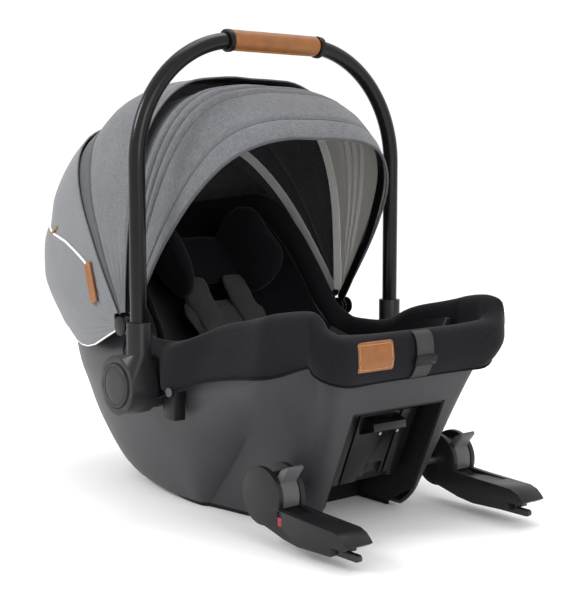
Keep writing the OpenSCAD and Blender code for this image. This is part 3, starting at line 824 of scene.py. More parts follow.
@dataclass
class ShellForm:
    """The shell's plan at every height, in millimetres."""

    shell_half: float = 172
    head_half: float = 160
    foot_half: float = 119
    toe_y: float = 178
    slope: float = 0.42
    corner: float = 22
    reach: float = 345
    rim: float = 190
    floor: float = 6
    side_y: float = 20
    squareness: float = 2.6
    half_count: int = 70

    def __post_init__(self) -> None:
        """Prepares the curves."""
        f, s, h = self.foot_half, self.shell_half, self.head_half
        self.low_front = Curve([(0, 150), (8, 172), (28, 190), (34, 192.3)])
        self.back = Curve(
            [
                (0, -232), (4, -175), (12, -118), (28, -90), (70, -60), (130, -32), (200, 0), (250, 2),
                (300, -10), (345, -33), (380, -60)
            ]
        )
        self.wide = Curve([(0, f - 7), (30, mix(f, s, 0.2)), (66, mix(f, s, 0.5)), (100, mix(f, s, 0.74)),
                           (130, mix(f, s, 0.88)), (160, s), (190, s), (212, h), (400, h)])
        self.toe = Curve([(0, f - 33), (30, f - 27), (172, f - 1), (240, f + 24), (300, f + 30)])
        self.crease = Curve([(0, f - 13), (92, f - 2), (190, s - 6), (212, h)])
        self.lip = Curve(
            [
                (-262, 22), (-250, 32), (-236, 48), (-200, 44), (-110, 28), (-30, 0), (20, 0), (60, 32),
                (90, 72), (140, 126), (180, 156), (230, 170), (300, 160), (345, 150)
            ]
        )

    def front(self, z: float) -> float:
        """Gives how far the front face reaches at height z."""
        return self.low_front(z) if z < 34 else self.toe_y + self.slope * z

    def rim_height(self, y: float) -> float:
        """Gives the height of the shell's rim over the place y."""
        return self.rim + self.lip(y)

    def half_point(self, k: int, z: float, inset: float) -> tuple[float, float]:
        """Gives a point of the right half of the plan.

        Args:
            k: The column, from 0 at the middle of the foot end to the last at the middle of the head end.
            z: The height.
            inset: How far inside the outer face it lies.

        Returns:
            The point's x and y.
        """
        f, t = -self.front(z) + inset, self.toe(z) - inset
        c, w = self.crease(z) - inset, self.wide(z) - inset
        r, cy = self.corner - inset, -6 - 0.95 * min(z, 200)
        b = self.reach + self.back(z) - inset
        if k <= 3:
            return (t - r) * k / 3, f
        if k <= 9:
            a = math.radians(15 * (k - 3))
            return t - r + r * math.sin(a), f + r - r * math.cos(a)
        if k <= 19:
            return mix(t, c, (k - 9) / 10), mix(f + r, cy, (k - 9) / 10)
        if k <= 29:
            v = ((k - 19) / 10) ** 1.4
            return mix(c, w, 1 - (1 - v) ** 5), mix(cy, self.side_y, v)
        a = math.radians(90 * ((k - 29) / 40) ** 1.5)
        power = 2 / self.squareness
        return w * max(0.0, math.cos(a)) ** power, self.side_y + (b - self.side_y) * math.sin(a) ** power

    @property
    def count(self) -> int:
        """Gives how many columns go round the shell."""
        return 2 * self.half_count - 2

    def column(self, k: int, z: float, inset: float) -> tuple[float, float]:
        """Gives a point of the whole plan.

        Args:
            k: The column, counted round the ring.
            z: The height.
            inset: How far inside the outer face it lies.

        Returns:
            The point's x and y.
        """
        k %= self.count
        if k < self.half_count:
            return self.half_point(k, z, inset)
        x, y = self.half_point(self.count - k, z, inset)
        return -x, y

    def rim_at(self, k: int) -> float:
        """Gives the rim's height at column k."""
        return self.rim_height(self.column(k, 200, 0)[1])


FORM = ShellForm()


@dataclass
class Shell:
    """The moulded tub, its docking recess and its tray."""

    wall: float = 3.0
    levels: int = 34
    recess_w: float = 148
    recess_top: float = 150
    recess_depth: float = 40
    toe_cut: float = 62

    def recess(self) -> bpy.types.Object:
        """Makes the block that is cut out of the foot end.

        Returns:
            The closed block.
        """
        d, top = self.recess_depth, self.recess_top
        side = [(-FORM.front(top) - 30, top), (d - FORM.front(top - 4), top - 4), (d - FORM.front(48), 48),
                (self.toe_cut - 150, 44), (self.toe_cut - 150, -1), (-210, -1)]
        half = self.recess_w / 2
        return skin(
            "recess_block", [[Vector((x, y, z)) for y, z in side] for x in (-half, half)], ring=True,
            caps=True
        )

    def build(self) -> None:
        """Makes the tub, cuts the recess and dresses the parts in it."""
        rows: list[Row] = []
        shares = [0, 0.008, 0.02, 0.035, 0.055, 0.08] + [
            0.08 + 0.92 * i / (self.levels - 6) for i in range(1, self.levels - 5)
        ]
        for inset, order in ((0.0, shares), (self.wall, shares[::-1])):
            for share in order:
                row = []
                for k in range(FORM.count):
                    z = mix(FORM.floor, FORM.rim_at(k), share)
                    x, y = FORM.column(k, z, inset)
                    row.append(Vector((x, y, z + inset * (1 - share))))
                rows.append(row)
        tub = skin("shell_tub", rows, ring=True, caps=True)
        block = self.recess()
        modify(tub, "BOOLEAN", operation="DIFFERENCE", object=block, solver="EXACT")
        bpy.data.objects.remove(block)
        smooth(tub, 28)
        paint(tub, SHELL_PP)
        seat_on(tub, "shell", "shell_plastic", "outer_shell")
        edged_copy("recess_tray", NYLON, "dark_plastic", 1.0)
        edged_copy("recess_plate", CATCH_ABS, "dark_plastic", 1.0)
        edged_copy("recess_catch", CATCH_ABS, "dark_plastic", 1.0)
        edged_copy("recess_screws", ZINC_STEEL, "steel", 0.4)
        edged_copy("base_plate", NYLON, "dark_plastic", 0.8)
        paint(frame["nodes"]["foam_bucket"], FOAM)


@dataclass
class Padding:
    """The liner, the padded rim and the insert."""

    gap: float = 3.0
    drop: float = 42
    top: float = 26
    thick: float = 9
    inner: float = 17
    snap_y: float = 66
    liner_foot: float = -227
    liner_length: float = 510
    liner_rows: int = 57
    liner_half: int = 20
    liner_thick: float = 4.4
    tag_x: float = -76
    tag_up: float = 7
    tag_w: float = 54
    tag_h: float = 33
    back_lean: float = 41.5
    back_y: float = 50
    back_z: float = 148

    def rim_section(self, k: int) -> list[tuple[float, float]]:
        """Gives the section of the padded rim at a column.

        Args:
            k: The column.

        Returns:
            Pairs: how far a point lies out from the shell, and how high above the shell's rim.
        """
        x, y = FORM.column(k, 200, 0)
        out = 1 - ease(-36, -26, y) * (1 - ease(46, 60, y))
        front = ease(-150, -235, y)
        corner = front * ease(60, 125, abs(x))
        over_socket = ease(-84, -62, y) * (1 - ease(-36, -26, y))
        low_edge = self.drop - 15 * ease(-196, -250, y)
        drop, thick = mix(-3, low_edge, out), mix(0.6, self.thick + 6 * corner + 12 * over_socket, out)
        top = self.top + 3 * corner + 3 * front
        low = -drop
        return [
            (self.gap, 1.5), (mix(0.4, self.gap, out), mix(1.2, low + 2, out)), (thick * 0.55, low - 0.5),
            (thick * 0.95, low + 2), (thick + 1.2, mix(low, 4, 0.25)), (thick + 1.8, mix(low, 4, 0.5)),
            (thick + 1.2, mix(low, 4, 0.8)), (thick, 6), (thick - 1.2, top - 11), (thick - 4, top - 4),
            (-1, top), (-6, top + 0.6), (-11, top - 1.5), (-self.inner + 1.5, top - 8),
            (-self.inner - 0.4, 10), (-self.inner - 0.8, 0), (-self.inner, -12), (-self.inner, -22),
            (-6.4, -22), (-6.4, 1.5)
        ]

    def rim(self) -> None:
        """Makes the padded rim, a foam roll under jersey, with the piping along its outside and two snaps."""
        rows: list[Row] = []
        seam: Row = []
        snaps: dict[int, tuple[float, Vector, Vector]] = {}
        for k in range(FORM.count):
            z = FORM.rim_at(k)
            ax, ay = FORM.column(k - 1, 200, 0)
            bx, by = FORM.column(k + 1, 200, 0)
            tangent = Vector((bx - ax, by - ay, 0)).normalized()
            out = Vector((tangent.y, -tangent.x, 0))
            row = []
            for i, (o, h) in enumerate(self.rim_section(k)):
                px, py = FORM.column(k, z + min(h, 0), 0)
                push = 0.0
                if 3 <= i <= 15:
                    push = 1.1 * ripple(px, py, z + h, 34) + 0.5 * ripple(px * 2, py * 2, h, 21)
                row.append(Vector((px, py, z + h)) + out * (o + push * min(1, max(0, o + 20) / 20)))
            rows.append(row)
            seam.append(row[3] + out * 0.5)
            side = 1 if row[4].x > 0 else -1
            if side not in snaps or abs(row[4].y + self.snap_y) < snaps[side][0]:
                snaps[side] = (abs(row[4].y + self.snap_y), row[4].lerp(row[3], 0.8), out)
        roll = skin("padded_rim", rows, ring=True, loop=True)
        modify(roll, "SUBSURF", levels=1, render_levels=1)
        smooth(roll, 60)
        paint(roll, JERSEY)
        seat_on(roll, "shell", "liner_cloth", "rim_cover")
        for side, (_, place, out) in snaps.items():
            stud = tube("snap", [place + out * 0.4, place + out * 2.6, place + out * 3.2], 5.5, sides=24)
            modify(
                stud, "BEVEL", width=0.6 * MM, segments=2, limit_method="ANGLE",
                angle_limit=math.radians(40)
            )
            stud.name = "rim_snap_left" if side < 0 else "rim_snap_right"
            seat_on(paint(smooth(stud), TAB_PP), "shell", "tab_plastic")
        piping = paint(smooth(tube("rim_piping", seam, 1.3, closed=True)), JERSEY_DARK)
        seat_on(piping, "shell", "liner_cloth")

    def liner(self) -> None:
        """Makes the jersey liner that covers the foam bucket."""
        floor = Curve(
            [
                (-240, 206), (-215, 188), (-190, 166), (-150, 128), (-100, 106), (-40, 96), (-10, 100),
                (50, 142), (150, 232), (230, 300), (296, 330)
            ]
        )
        half = Curve(
            [
                (-228, 91), (-210, 107), (-185, 132), (-120, 143), (20, 144), (60, 132), (120, 130),
                (190, 120), (240, 98), (268, 76), (284, 56)
            ]
        )
        rows: list[Row] = []
        for i in range(self.liner_rows + 1):
            y = self.liner_foot + self.liner_length * i / self.liner_rows
            w = half(y) - 1
            row = []
            for j in range(2 * self.liner_half + 1):
                t = math.sin(math.pi / 2 * (j / self.liner_half - 1))
                z = mix(floor(y), max(FORM.rim_height(y), floor(y) + 4), abs(t) ** 4)
                z += 6 + 0.8 * ripple(t * w, y, z, 42) * (1 - t**8)
                row.append(Vector((t * w, y, z)))
            rows.append(row)
        sheet = skin("seat_liner_cloth", rows, centre=Vector((0, 0, -400)))
        modify(sheet, "SOLIDIFY", thickness=self.liner_thick * MM, offset=-1)
        smooth(sheet, 50)
        paint(sheet, JERSEY_DARK)
        seat_on(sheet, "shell", "liner_cloth", "seat_liner")

    def on_back(self, x0: float, up0: float, out0: float) -> Callable[[float, float, float], Vector]:
        """Prepares a place on the backrest.

        Args:
            x0: How far the place lies across.
            up0: How far it lies up the backrest.
            out0: How far it stands out.

        Returns:
            A function that turns across, up and out from there into a point.
        """
        lean = math.radians(self.back_lean)
        up, out = Vector((0, math.cos(lean), math.sin(lean))), Vector((0, -math.sin(lean), math.cos(lean)))
        foot_y, foot_z = self.back_y, self.back_z
        return lambda x, u, o: Vector((x0 + x, foot_y, foot_z)) + up * (up0 + u) + out * (out0 + o)

    def front_fittings(self) -> None:
        """Makes what the front roll carries: the stitched blank tag, the adjuster strap and its keeper."""
        z0 = FORM.rim_height(-262)
        outer = Curve(
            [
                (-27, 5), (-24, 9), (-19, 11), (-13, 11.6), (-5, 11), (6, 9.6), (18, 8.2), (25, 5),
                (28.5, 0), (29.4, -6)
            ]
        )

        def at(x: float, u: float, o: float) -> Vector:
            """Places a point on the roll's front."""
            return Vector((x, -FORM.front(z0 + min(u, 0)) - outer(u) - o - 0.9, z0 + u))

        plate = rounded(self.tag_w, self.tag_h, 3)
        rows = [
            [at(self.tag_x + x * s, self.tag_up + y * s, o) for x, y in plate]
            for s, o in (
                (0.02, 0), (0.5, 0), (1, 0), (1.0, 1.4), (0.97, 2.0), (0.8, 2.1), (0.6, 2.2), (0.4, 2.2),
                (0.2, 2.2), (0.02, 2.2)
            )
        ]
        tag = paint(smooth(skin("leather_tag_blank", rows, ring=True, caps=True)), LEATHER)
        seat_on(tag, "shell", "leather", "leather_tag")
        seam = rounded(self.tag_w - 6, self.tag_h - 6, 2)
        ring = [at(self.tag_x + x, self.tag_up + y, 2.2) for x, y in seam]
        seat_on(
            paint(stitches("leather_tag_stitching", ring + ring[:1], 0.35, 3.2), THREAD), "shell",
            "leather"
        )
        strap = self.ribbon(
            "adjuster_webbing",
            [
                at(0, u, 0.2 + o)
                for u, o in (
                    (28.5, 1.0), (25, 1.4), (18, 1.4), (8, 1.4), (-4, 1.4), (-14, 1.4), (-22, 1.2),
                    (-26, 0.4)
                )
            ],
            Vector((1, 0, 0)), 27, 1.8
        )
        paint(strap, WEBBING_BLACK)
        seat_on(strap, "shell", "dark_webbing", "adjuster_strap")
        keeper_rows = [[at(x * s, -4 + y * s, o) for x, y in rounded(34, 12, 3)]
                       for s, o in ((0.02, 1.8), (0.96, 1.8), (1, 2.8), (1, 3.8), (0.94, 4.6), (0.02, 4.8))]
        keeper = paint(smooth(skin("adjuster_keeper", keeper_rows, ring=True, caps=True)), NYLON)
        seat_on(keeper, "shell", "dark_plastic", "strap_keeper")

    def ribbon(
        self, name: str, path: Sequence[Vector], side: Vector, width: float, thick: float
    ) -> bpy.types.Object:
        """Makes a flat strap along a path, with rounded selvedges.

        Args:
            name: The object's name.
            path: The points of its middle line, in millimetres.
            side: The direction of its width.
            width: Its width.
            thick: Its thickness.

        Returns:
            The new strap.
        """
        fine: Row = []
        for i in range(len(path) - 1):
            a, b = path[max(0, i - 1)], path[i]
            c, d = path[i + 1], path[min(len(path) - 1, i + 2)]
            for s in range(4):
                t = s / 4
                fine.append(
                    0.5
                    * (
                        (2 * b) + (c - a) * t + (2 * a - 5 * b + 4 * c - d) * t * t
                        + (3 * b - a - 3 * c + d) * t**3
                    )
                )
        fine.append(path[-1])
        rows = []
        for i, p in enumerate(fine):
            way = (fine[min(i + 1, len(fine) - 1)] - fine[max(i - 1, 0)]).normalized()
            out = way.cross(side).normalized()
            half, h = width / 2, thick / 2
            section = [
                (-half, 0), (-half + 0.6, h), (-half + 3, h * 0.8), (0, h), (half - 3, h * 0.8),
                (half - 0.6, h), (half, 0), (half - 0.6, -h), (0, -h), (-half + 0.6, -h)
            ]
            rows.append([p + side * u + out * v for u, v in section])
        return smooth(skin(name, rows, ring=True, caps=True), 40)

    def pad(
        self, name: str, shape: bpy.types.Object, cap: float, finish: Finish, body: str, *nodes: str
    ) -> None:
        """Fills a pad, dresses it and seats it.

        Args:
            name: The new piece's name.
            shape: The pad's starting shape.
            cap: How far in millimetres the filling may move its cloth.
            finish: Its finish.
            body: The body that it moves with.
            nodes: The CAD nodes that it stands for.
        """
        swell(shape, 5, cap)
        smooth(shape, 80)
        paint(shape, finish)
        shape.name = name
        seat_on(shape, body, "liner_cloth", *nodes)

    def insert(self) -> None:
        """Makes the infant insert: the back pad and the seat pad."""
        back = self.on_back(0, 62, 20)
        outline = rounded(150, 128, 40, pinch=4)
        self.pad(
            "insert_back_cushion",
            outline_pad("back_pad", [(x * 0.95, y * 0.95) for x, y in outline], 12, back, bend=14), 7,
            PAD_CLOTH, "shell", "insert_back_pad"
        )

        def seat(x: float, u: float, o: float) -> Vector:
            """Places a point on the seat."""
            return Vector((x, -34 + u, 111 + o))

        self.pad(
            "insert_seat_cushion",
            outline_pad("seat_pad", rounded(118, 50, 20, pinch=2), 11, seat, bend=8), 6, PAD_CLOTH,
            "shell", "insert_seat_pad"
        )

    def build(self) -> None:
        """Makes all the padding."""
        self.rim()
        self.liner()
        self.front_fittings()
        self.insert()


@dataclass
class Harness:
    """The straps, their pads, the tongues and the buckle."""

    padding: Padding
    width: float = 25
    thick: float = 1.8

    def build(self) -> None:
        """Makes the harness."""
        pad = self.padding
        for side, name in ((-1, "left"), (1, "right")):
            at = pad.on_back(side * 38, 54, 27)
            strap = pad.ribbon(
                f"shoulder_webbing_{name}",
                [
                    at(0, u, o)
                    for u, o in ((-82, 0), (-50, 0.6), (-10, 0.8), (30, 0.8), (60, 0.5), (82, 0))
                ],
                Vector((1, 0, 0)), self.width, self.thick
            )
            seat_on(paint(strap, WEBBING), "shell", "grey_webbing", f"shoulder_strap_{name}")
            flat = pad.on_back(side * 34, 86, 35)

            def raised(
                x: float, u: float, o: float, flat: Callable[[float, float, float], Vector] = flat
            ) -> Vector:
                """Places a point on the pad, whose top end lies over the headrest's middle pad."""
                return flat(x, u, o + 7 * ease(15, 52, u))

            shape = outline_pad("pad", rounded(50, 124, 18, pinch=2), 10, raised, bend=1)
            pad.pad(f"shoulder_cushion_{name}", shape, 5, PAD_CLOTH, "shell", f"shoulder_pad_{name}")
            low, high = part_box(f"lap_strap_{name}")
            mid = (low + high) / 2 / MM
            reach = (high.x - low.x) / MM / 2
            lap = pad.ribbon(
                f"lap_webbing_{name}",
                [
                    mid + Vector((side * x, (x / reach) * 3, z))
                    for x, z in ((-reach, 1), (-reach * 0.4, 0.6), (reach * 0.4, 0.2), (reach, 0))
                ],
                Vector((0, 1, 0)), min(self.width, (high.y - low.y) / MM), self.thick
            )
            seat_on(paint(lap, WEBBING), "shell", "grey_webbing", f"lap_strap_{name}")
            edged_copy(f"tongue_{name}", BLACK_STEEL, "blackened_steel", 0.5)
        edged_copy("buckle_body", NYLON, "buckle_plastic", 1.6)
        edged_copy("buckle_button", RED_PP, "red_plastic", 0.8)
        low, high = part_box("crotch_strap")
        mid = (low + high) / 2 / MM
        strap = pad.ribbon(
            "crotch_webbing",
            [Vector((0, mid.y, z)) for z in (low.z / MM, mid.z - 8, mid.z + 8, high.z / MM)],
            Vector((1, 0, 0)), self.width, self.thick
        )
        seat_on(paint(strap, WEBBING_BLACK), "shell", "dark_webbing", "crotch_strap")


@dataclass
class Headrest:
    """The sliding headrest: a moulded back, a middle pad and two wings."""

    padding: Padding
    up: float = 186
    out: float = 27
    wing_lean: float = 74

    def build(self) -> None:
        """Makes the pads and dresses the moulded back."""
        edged_copy("headrest_shell", NYLON, "dark_plastic", 1.0)
        at = self.padding.on_back(0, self.up, self.out)
        middle = outline_pad("middle", rounded(134, 100, 34, pinch=3), 14, at, bend=10)
        parts = [middle]
        lean = math.radians(self.wing_lean)
        for side in (-1, 1):

            def wing(x: float, u: float, o: float, side: int = side) -> Vector:
                """Places a point on a wing, which stands forward from the side of the middle pad."""
                across = side * (58 + x * math.cos(lean) - o * math.sin(lean))
                return at(across, u, 4 + x * math.sin(lean) + o * math.cos(lean))

            outline = [(x + 38, y - 16) for x, y in rounded(94, 138, 42, pinch=2)]
            parts.append(outline_pad("wing", outline, 22, wing))
        shape = join(parts, "headrest_cushion")
        self.padding.pad("headrest_cushion", shape, 6, JERSEY_DARK, "headrest", "headrest_pad")


# ---------------------------------------------------------------- handle


@dataclass
class Handle:
    """The carry handle with its two hubs."""

    tube_y: float = -8
    top: float = 579
    grip_l: float = 138
    grip_r: float = 12.9
    thread_r: float = 13.1
    hub_y: float = 10
    hub_z: float = 165
    hub_out: float = 227.3
    cap_radius: float = 26.2
    cap_thick: float = 0.8
    cap_insets: tuple[tuple[float, float], ...] = ((2.6, 0.0), (0.8, -0.7), (0.8, 0.7), (10.0, 0.2))

    def grip(self) -> None:
        """Makes the leather grip: wrapped leather with its ends turned in, a seam and its stitching below."""
        rows: list[Row] = []
        half = self.grip_l / 2
        marks = [0, 0.6, 1.6, 3.2] + [3.2 + (self.grip_l - 6.4) * i / 40 for i in range(1, 40)] + \
            [self.grip_l - 3.2, self.grip_l - 1.6, self.grip_l - 0.6, self.grip_l]
        for s in marks:
            edge = min(s, self.grip_l - s)
            radius = self.grip_r - 1.6 * (1 - ease(0, 3.2, edge))
            row = []
            for k in range(40):
                a = 2 * math.pi * k / 40
                r = radius + 0.22 * ripple(s, 20 * math.cos(a), 20 * math.sin(a), 13)
                r -= 0.7 * math.exp(-((a - 4.4) / 0.07) ** 2)
                row.append(Vector((s - half, self.tube_y + r * math.cos(a), self.top + r * math.sin(a))))
            rows.append(row)
        wrap = smooth(skin("leather_grip_wrap", rows, ring=True, caps=True), 50)
        seat_on(paint(wrap, LEATHER), "handle", "leather", "handle_grip")
        lines = []
        for a in (4.27, 4.53):
            path = [
                Vector(
                    (
                        s - half, self.tube_y + self.thread_r * math.cos(a),
                        self.top + self.thread_r * math.sin(a)
                    )
                )
                for s in [5 + (self.grip_l - 10) * i / 60 for i in range(61)]
            ]
            lines.append(stitches("grip_thread", path, 0.4, 4.0))
        seat_on(paint(join(lines, "leather_grip_stitching"), THREAD), "handle", "leather")

    def hub(self, side: int, name: str) -> None:
        """Dresses one hub: its housing, button, mount and stroller socket, and a cap with a ring groove.

        Args:
            side: -1 for the left hub, 1 for the right.
            name: The hub's name, left or right.
        """
        edged_copy(f"hub_housing_{name}", HUB_NYLON, "hub_plastic", 1.6, 24)
        edged_copy(f"hub_button_{name}", HUB_NYLON, "hub_plastic", 1.0)
        edged_copy(f"hub_mount_{name}", NYLON, "dark_plastic", 0.8)
        edged_copy(f"adapter_socket_{name}", NYLON, "dark_plastic", 1.2)
        bpy.ops.object.select_all(action="DESELECT")
        bpy.ops.mesh.primitive_cylinder_add(
            vertices=64, radius=self.cap_radius * MM, depth=self.cap_thick * MM, rotation=(0, math.pi / 2, 0),
            location=(side * (self.hub_out + 1.2) * MM, self.hub_y * MM, self.hub_z * MM)
        )
        cap = bpy.context.object
        cap.name = f"hub_cap_{name}"
        bpy.ops.object.mode_set(mode="EDIT")
        bpy.ops.mesh.select_all(action="DESELECT")
        bpy.ops.object.mode_set(mode="OBJECT")
        for face in cap.data.polygons:
            face.select = len(face.vertices) > 4 and (cap.matrix_world.to_3x3() @ face.normal).x * side > 0.9
        bpy.ops.object.mode_set(mode="EDIT")
        for thickness, depth in self.cap_insets:
            bpy.ops.mesh.inset(thickness=thickness * MM, depth=depth * MM)
        bpy.ops.object.mode_set(mode="OBJECT")
        bpy.ops.object.transform_apply(location=True, rotation=True, scale=True)
        modify(cap, "BEVEL", width=0.3 * MM, segments=2, limit_method="ANGLE", angle_limit=math.radians(30))
        smooth(cap, 30)
        paint(cap, HUB_NYLON)
        seat_on(cap, frame["nodes"][f"hub_button_{name}"]["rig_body"], "hub_plastic")

    def build(self) -> None:
        """Makes the handle."""
        paint(frame["nodes"]["handle_tube"], POWDER_COAT)
        edged_copy("grip_collars", NYLON, "hub_plastic", 0.8)
        paint(frame["nodes"]["hub_pins"], ZINC_STEEL)
        self.grip()
        for side, name in ((-1, "left"), (1, "right")):
            self.hub(side, name)


# ---------------------------------------------------------------- hood


class Panel(Enum):
    """The three cloths of the hood, with their first and last angle above the head end's direction."""

    REAR = (-6.0, 54.0)
    MAIN = (46.0, 94.0)
    VISOR = (87.0, 125.0)


@dataclass
class Hood:
    """The folding hood, as sheets swept about its pivot."""

    y: float = 62
    z: float = 228
    start: float = 16
    cloth_t: float = 1.8
    hoop_w: float = 12
    hoop_t: float = 2.4
    eye_hole: float = 4.2
    eye_round: float = 12
    eye_edge: float = 0.6
    tape_w: float = 15
    fold_from: float = 26
    fold_to: float = 53

    def __post_init__(self) -> None:
        """Prepares the side view and the width of each cloth."""
        self.radius = {
            Panel.REAR: Curve(
                [
                    (-8, 277), (-2, 290), (5, 309), (11, 321), (19, 322), (25, 315), (27.2, 308),
                    (30, 311.5), (36, 319.5), (47, 318.5), (54, 316)
                ]
            ),
            Panel.MAIN: Curve(
                [
                    (46, 311.5), (54, 311.5), (60, 308.5), (64, 311), (70, 314), (78, 313), (88, 309.5),
                    (94, 311)
                ]
            ),
            Panel.VISOR: Curve(
                [
                    (86, 290), (92, 293.5), (95.5, 297), (98.5, 300.5), (101.5, 302.5), (106, 302.5),
                    (111, 300.5), (116, 295.5), (121, 289), (125, 282)
                ]
            ),
        }
        self.half = {Panel.REAR: 185.6, Panel.MAIN: 182.2, Panel.VISOR: 176.0}
        self.squareness = {
            Panel.REAR: Curve([(-8, 2.9), (12, 3.4), (30, 3.9), (57, 3.6)]),
            Panel.MAIN: Curve([(50, 3.6), (82, 3.5)]),
            Panel.VISOR: Curve([(74, 3.5), (100, 3.4), (126, 3.2)]),
        }
        self.relief = {
            Panel.REAR: Curve([(-8, 0), (52.6, 0), (53.2, -0.6), (54, 0.4)]),
            Panel.MAIN: Curve(
                [
                    (46, 0.2), (54, 0.6), (60.4, 0.8), (61.0, -1.2), (61.8, 0.4), (91, 0.4), (92, -1.0),
                    (93, 1.3), (94, 0.9)
                ]
            ),
            Panel.VISOR: Curve(
                [
                    (86, 0), (96, 0), (99.0, 2.4), (100.2, -2.6), (101.4, 2.0), (102.8, 2.0),
                    (104.0, -2.2), (105.2, 2.0), (106.6, 2.0), (107.8, -2.0), (109.0, 1.0), (118.0, 0.9),
                    (119.0, -2.0), (120.0, 1.3), (123, 1.7), (125, 0.6)
                ]
            ),
        }

    def point(self, panel: Panel, phi: float, a: float, lift: float = 0.0) -> Vector:
        """Gives a point of a cloth.

        Args:
            panel: The cloth.
            phi: The angle about the pivot in degrees.
            a: The place across, in degrees: 0 at the left pivot, 90 at the middle and 180 at the right pivot.
            lift: How far outside the cloth the point lies.

        Returns:
            The point in millimetres.
        """
        half = math.radians(a if a <= 90 else 180 - a)
        power = 2 / self.squareness[panel](phi)
        r, w = self.radius[panel](phi), self.half[panel]
        s, c = max(0.0, math.sin(half)) ** power, max(0.0, math.cos(half)) ** power
        rho, x = r * s, w * c
        if panel is Panel.REAR:
            x -= 9 * ease(14, -8, phi) * ease(80, 230, rho)
        fold = self.relief[panel](phi) * ease(20, 110, rho)
        wave = math.sin(phi * 0.9 + 6 * ripple(0, 0, rho, 90))
        gather = 1.1 * wave * ease(130, 25, rho) * ease(14, 40, rho)
        lump = 1.6 * ripple(x * (1 if a <= 90 else -1.3), rho * 0.6, phi * 2.2, 46) * ease(60, 160, rho)
        out = lift + fold + gather * 0.7 + lump
        bow = self.squareness[panel](phi) - 1
        nx, nr = c**bow / w, s**bow / max(r, 1)
        size = math.hypot(nx, nr) or 1.0
        x, rho = x + out * nx / size, rho + out * nr / size
        turn = math.radians(phi)
        return Vector((-x if a <= 90 else x, self.y + rho * math.cos(turn), self.z + rho * math.sin(turn)))

    def low_edge(self, a: float) -> float:
        """Gives the rear cloth's hem, which dips beside the shell.

        Args:
            a: The place across in degrees.

        Returns:
            The angle of the hem there.
        """
        half = a if a <= 90 else 180 - a
        share = math.sin(math.radians(half)) ** 0.57
        return -4.0 - 20 * ease(0.8, 0.3, share)

    def across(self) -> list[float]:
        """Gives the places across, closer together at the pivots and at the middle.

        Returns:
            The places in degrees, from the left pivot to the right.
        """
        power = 3.5 / 2
        first = math.degrees(math.asin((self.start / 300) ** power))
        right = [first + (90 - first) * (3 * (i / 26) ** 2 - 2 * (i / 26) ** 3) for i in range(27)]
        return right + [180 - a for a in right[-2::-1]]

    def cloth(self, panel: Panel, name: str, steps: int, node: str, outer: Sequence[Finish], inner: Finish,
              split: Callable[[float], int]) -> bpy.types.Object:
        """Makes one cloth of the hood.

        Args:
            panel: The cloth.
            name: The new piece's name.
            steps: How many rows it has.
            node: The CAD node that it stands for.
            outer: The finishes of its outside.
            inner: The finish of its lining.
            split: Gives the number of the outside's finish at an angle.

        Returns:
            The piece, before it rides.
        """
        low, high = panel.value
        rows = []
        for i in range(steps + 1):
            row = []
            for a in self.across():
                first = self.low_edge(a) if panel is Panel.REAR else low
                row.append(self.point(panel, mix(first, high, i / steps), a))
            rows.append(row)
        piece = skin(name, rows, centre=Vector((0, self.y, self.z)))
        paint(piece, *outer, inner)
        count = len(self.across()) - 1
        for face in piece.data.polygons:
            face.material_index = split(mix(low, high, (face.index // count + 0.5) / steps))
        modify(
            piece, "SOLIDIFY", thickness=self.cloth_t * MM, offset=-1, material_offset=len(outer),
            use_rim=True
        )
        for face in piece.data.polygons:
            face.material_index = min(face.material_index, len(outer))
        smooth(piece, 50)
        width = 2 * (self.half[panel] + self.radius[panel]((low + high) / 2)) * MM * 0.93
        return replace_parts(piece, node)

    def strip(
        self, name: str, panel: Panel, phi: float, width: float, inset: float, thick: float, start: float
    ) -> bpy.types.Object:
        """Makes a flat strip that runs under a cloth from pivot to pivot, such as a hoop or a tape.

        Args:
            name: The object's name.
            panel: The cloth that it follows.
            phi: The angle of its middle line.
            width: Its width in millimetres.
            inset: How far inside the cloth it lies.
            thick: Its thickness.
            start: How far from the pivot it starts.

        Returns:
            The new strip.
        """
        rows = []
        for a in self.across():
            mid = self.point(panel, phi, a, -inset)
            back = self.point(panel, phi, a, -inset - thick)
            if math.hypot(mid.y - self.y, mid.z - self.z) < start:
                continue
            turn = math.radians(phi)
            way = Vector((0, -math.sin(turn), math.cos(turn))) * width / 2
            rows.append([mid - way, mid + way, back + way, back - way])
        return smooth(skin(name, rows, ring=True, caps=True), 50)

    def hoop(self, name: str, panel: Panel, phi: float, inset: float, node: str, body: str) -> None:
        """Makes one moulded hoop with its two eyes, one on each pivot pin.

        Args:
            name: The new piece's name.
            panel: The cloth that it carries.
            phi: The angle of its middle line.
            inset: How far inside the cloth it lies.
            node: The CAD node that it stands for.
            body: The body that it moves with.
        """
        band = self.strip(name, panel, phi, self.hoop_w, inset, self.hoop_t, 8)
        parts = [band]
        level = self.half[panel] - inset - self.hoop_t
        hole, edge = self.eye_hole, self.eye_round - self.eye_edge
        for side in (-1, 1):
            turns = [2 * math.pi * k / 32 for k in range(32)]
            rows = [
                [Vector((side * x, self.y + r * math.cos(t), self.z + r * math.sin(t))) for t in turns]
                for x, r in (
                    (level, hole), (level, edge), (level + 0.5, self.eye_round),
                    (level + 2.0, self.eye_round), (level + self.hoop_t, edge), (level + self.hoop_t, hole)
                )
            ]
            parts.append(skin("eye", rows, ring=True, loop=True))
        whole = smooth(join(parts, name), 40)
        seat_on(paint(whole, NYLON), body, "hoop_plastic", node)

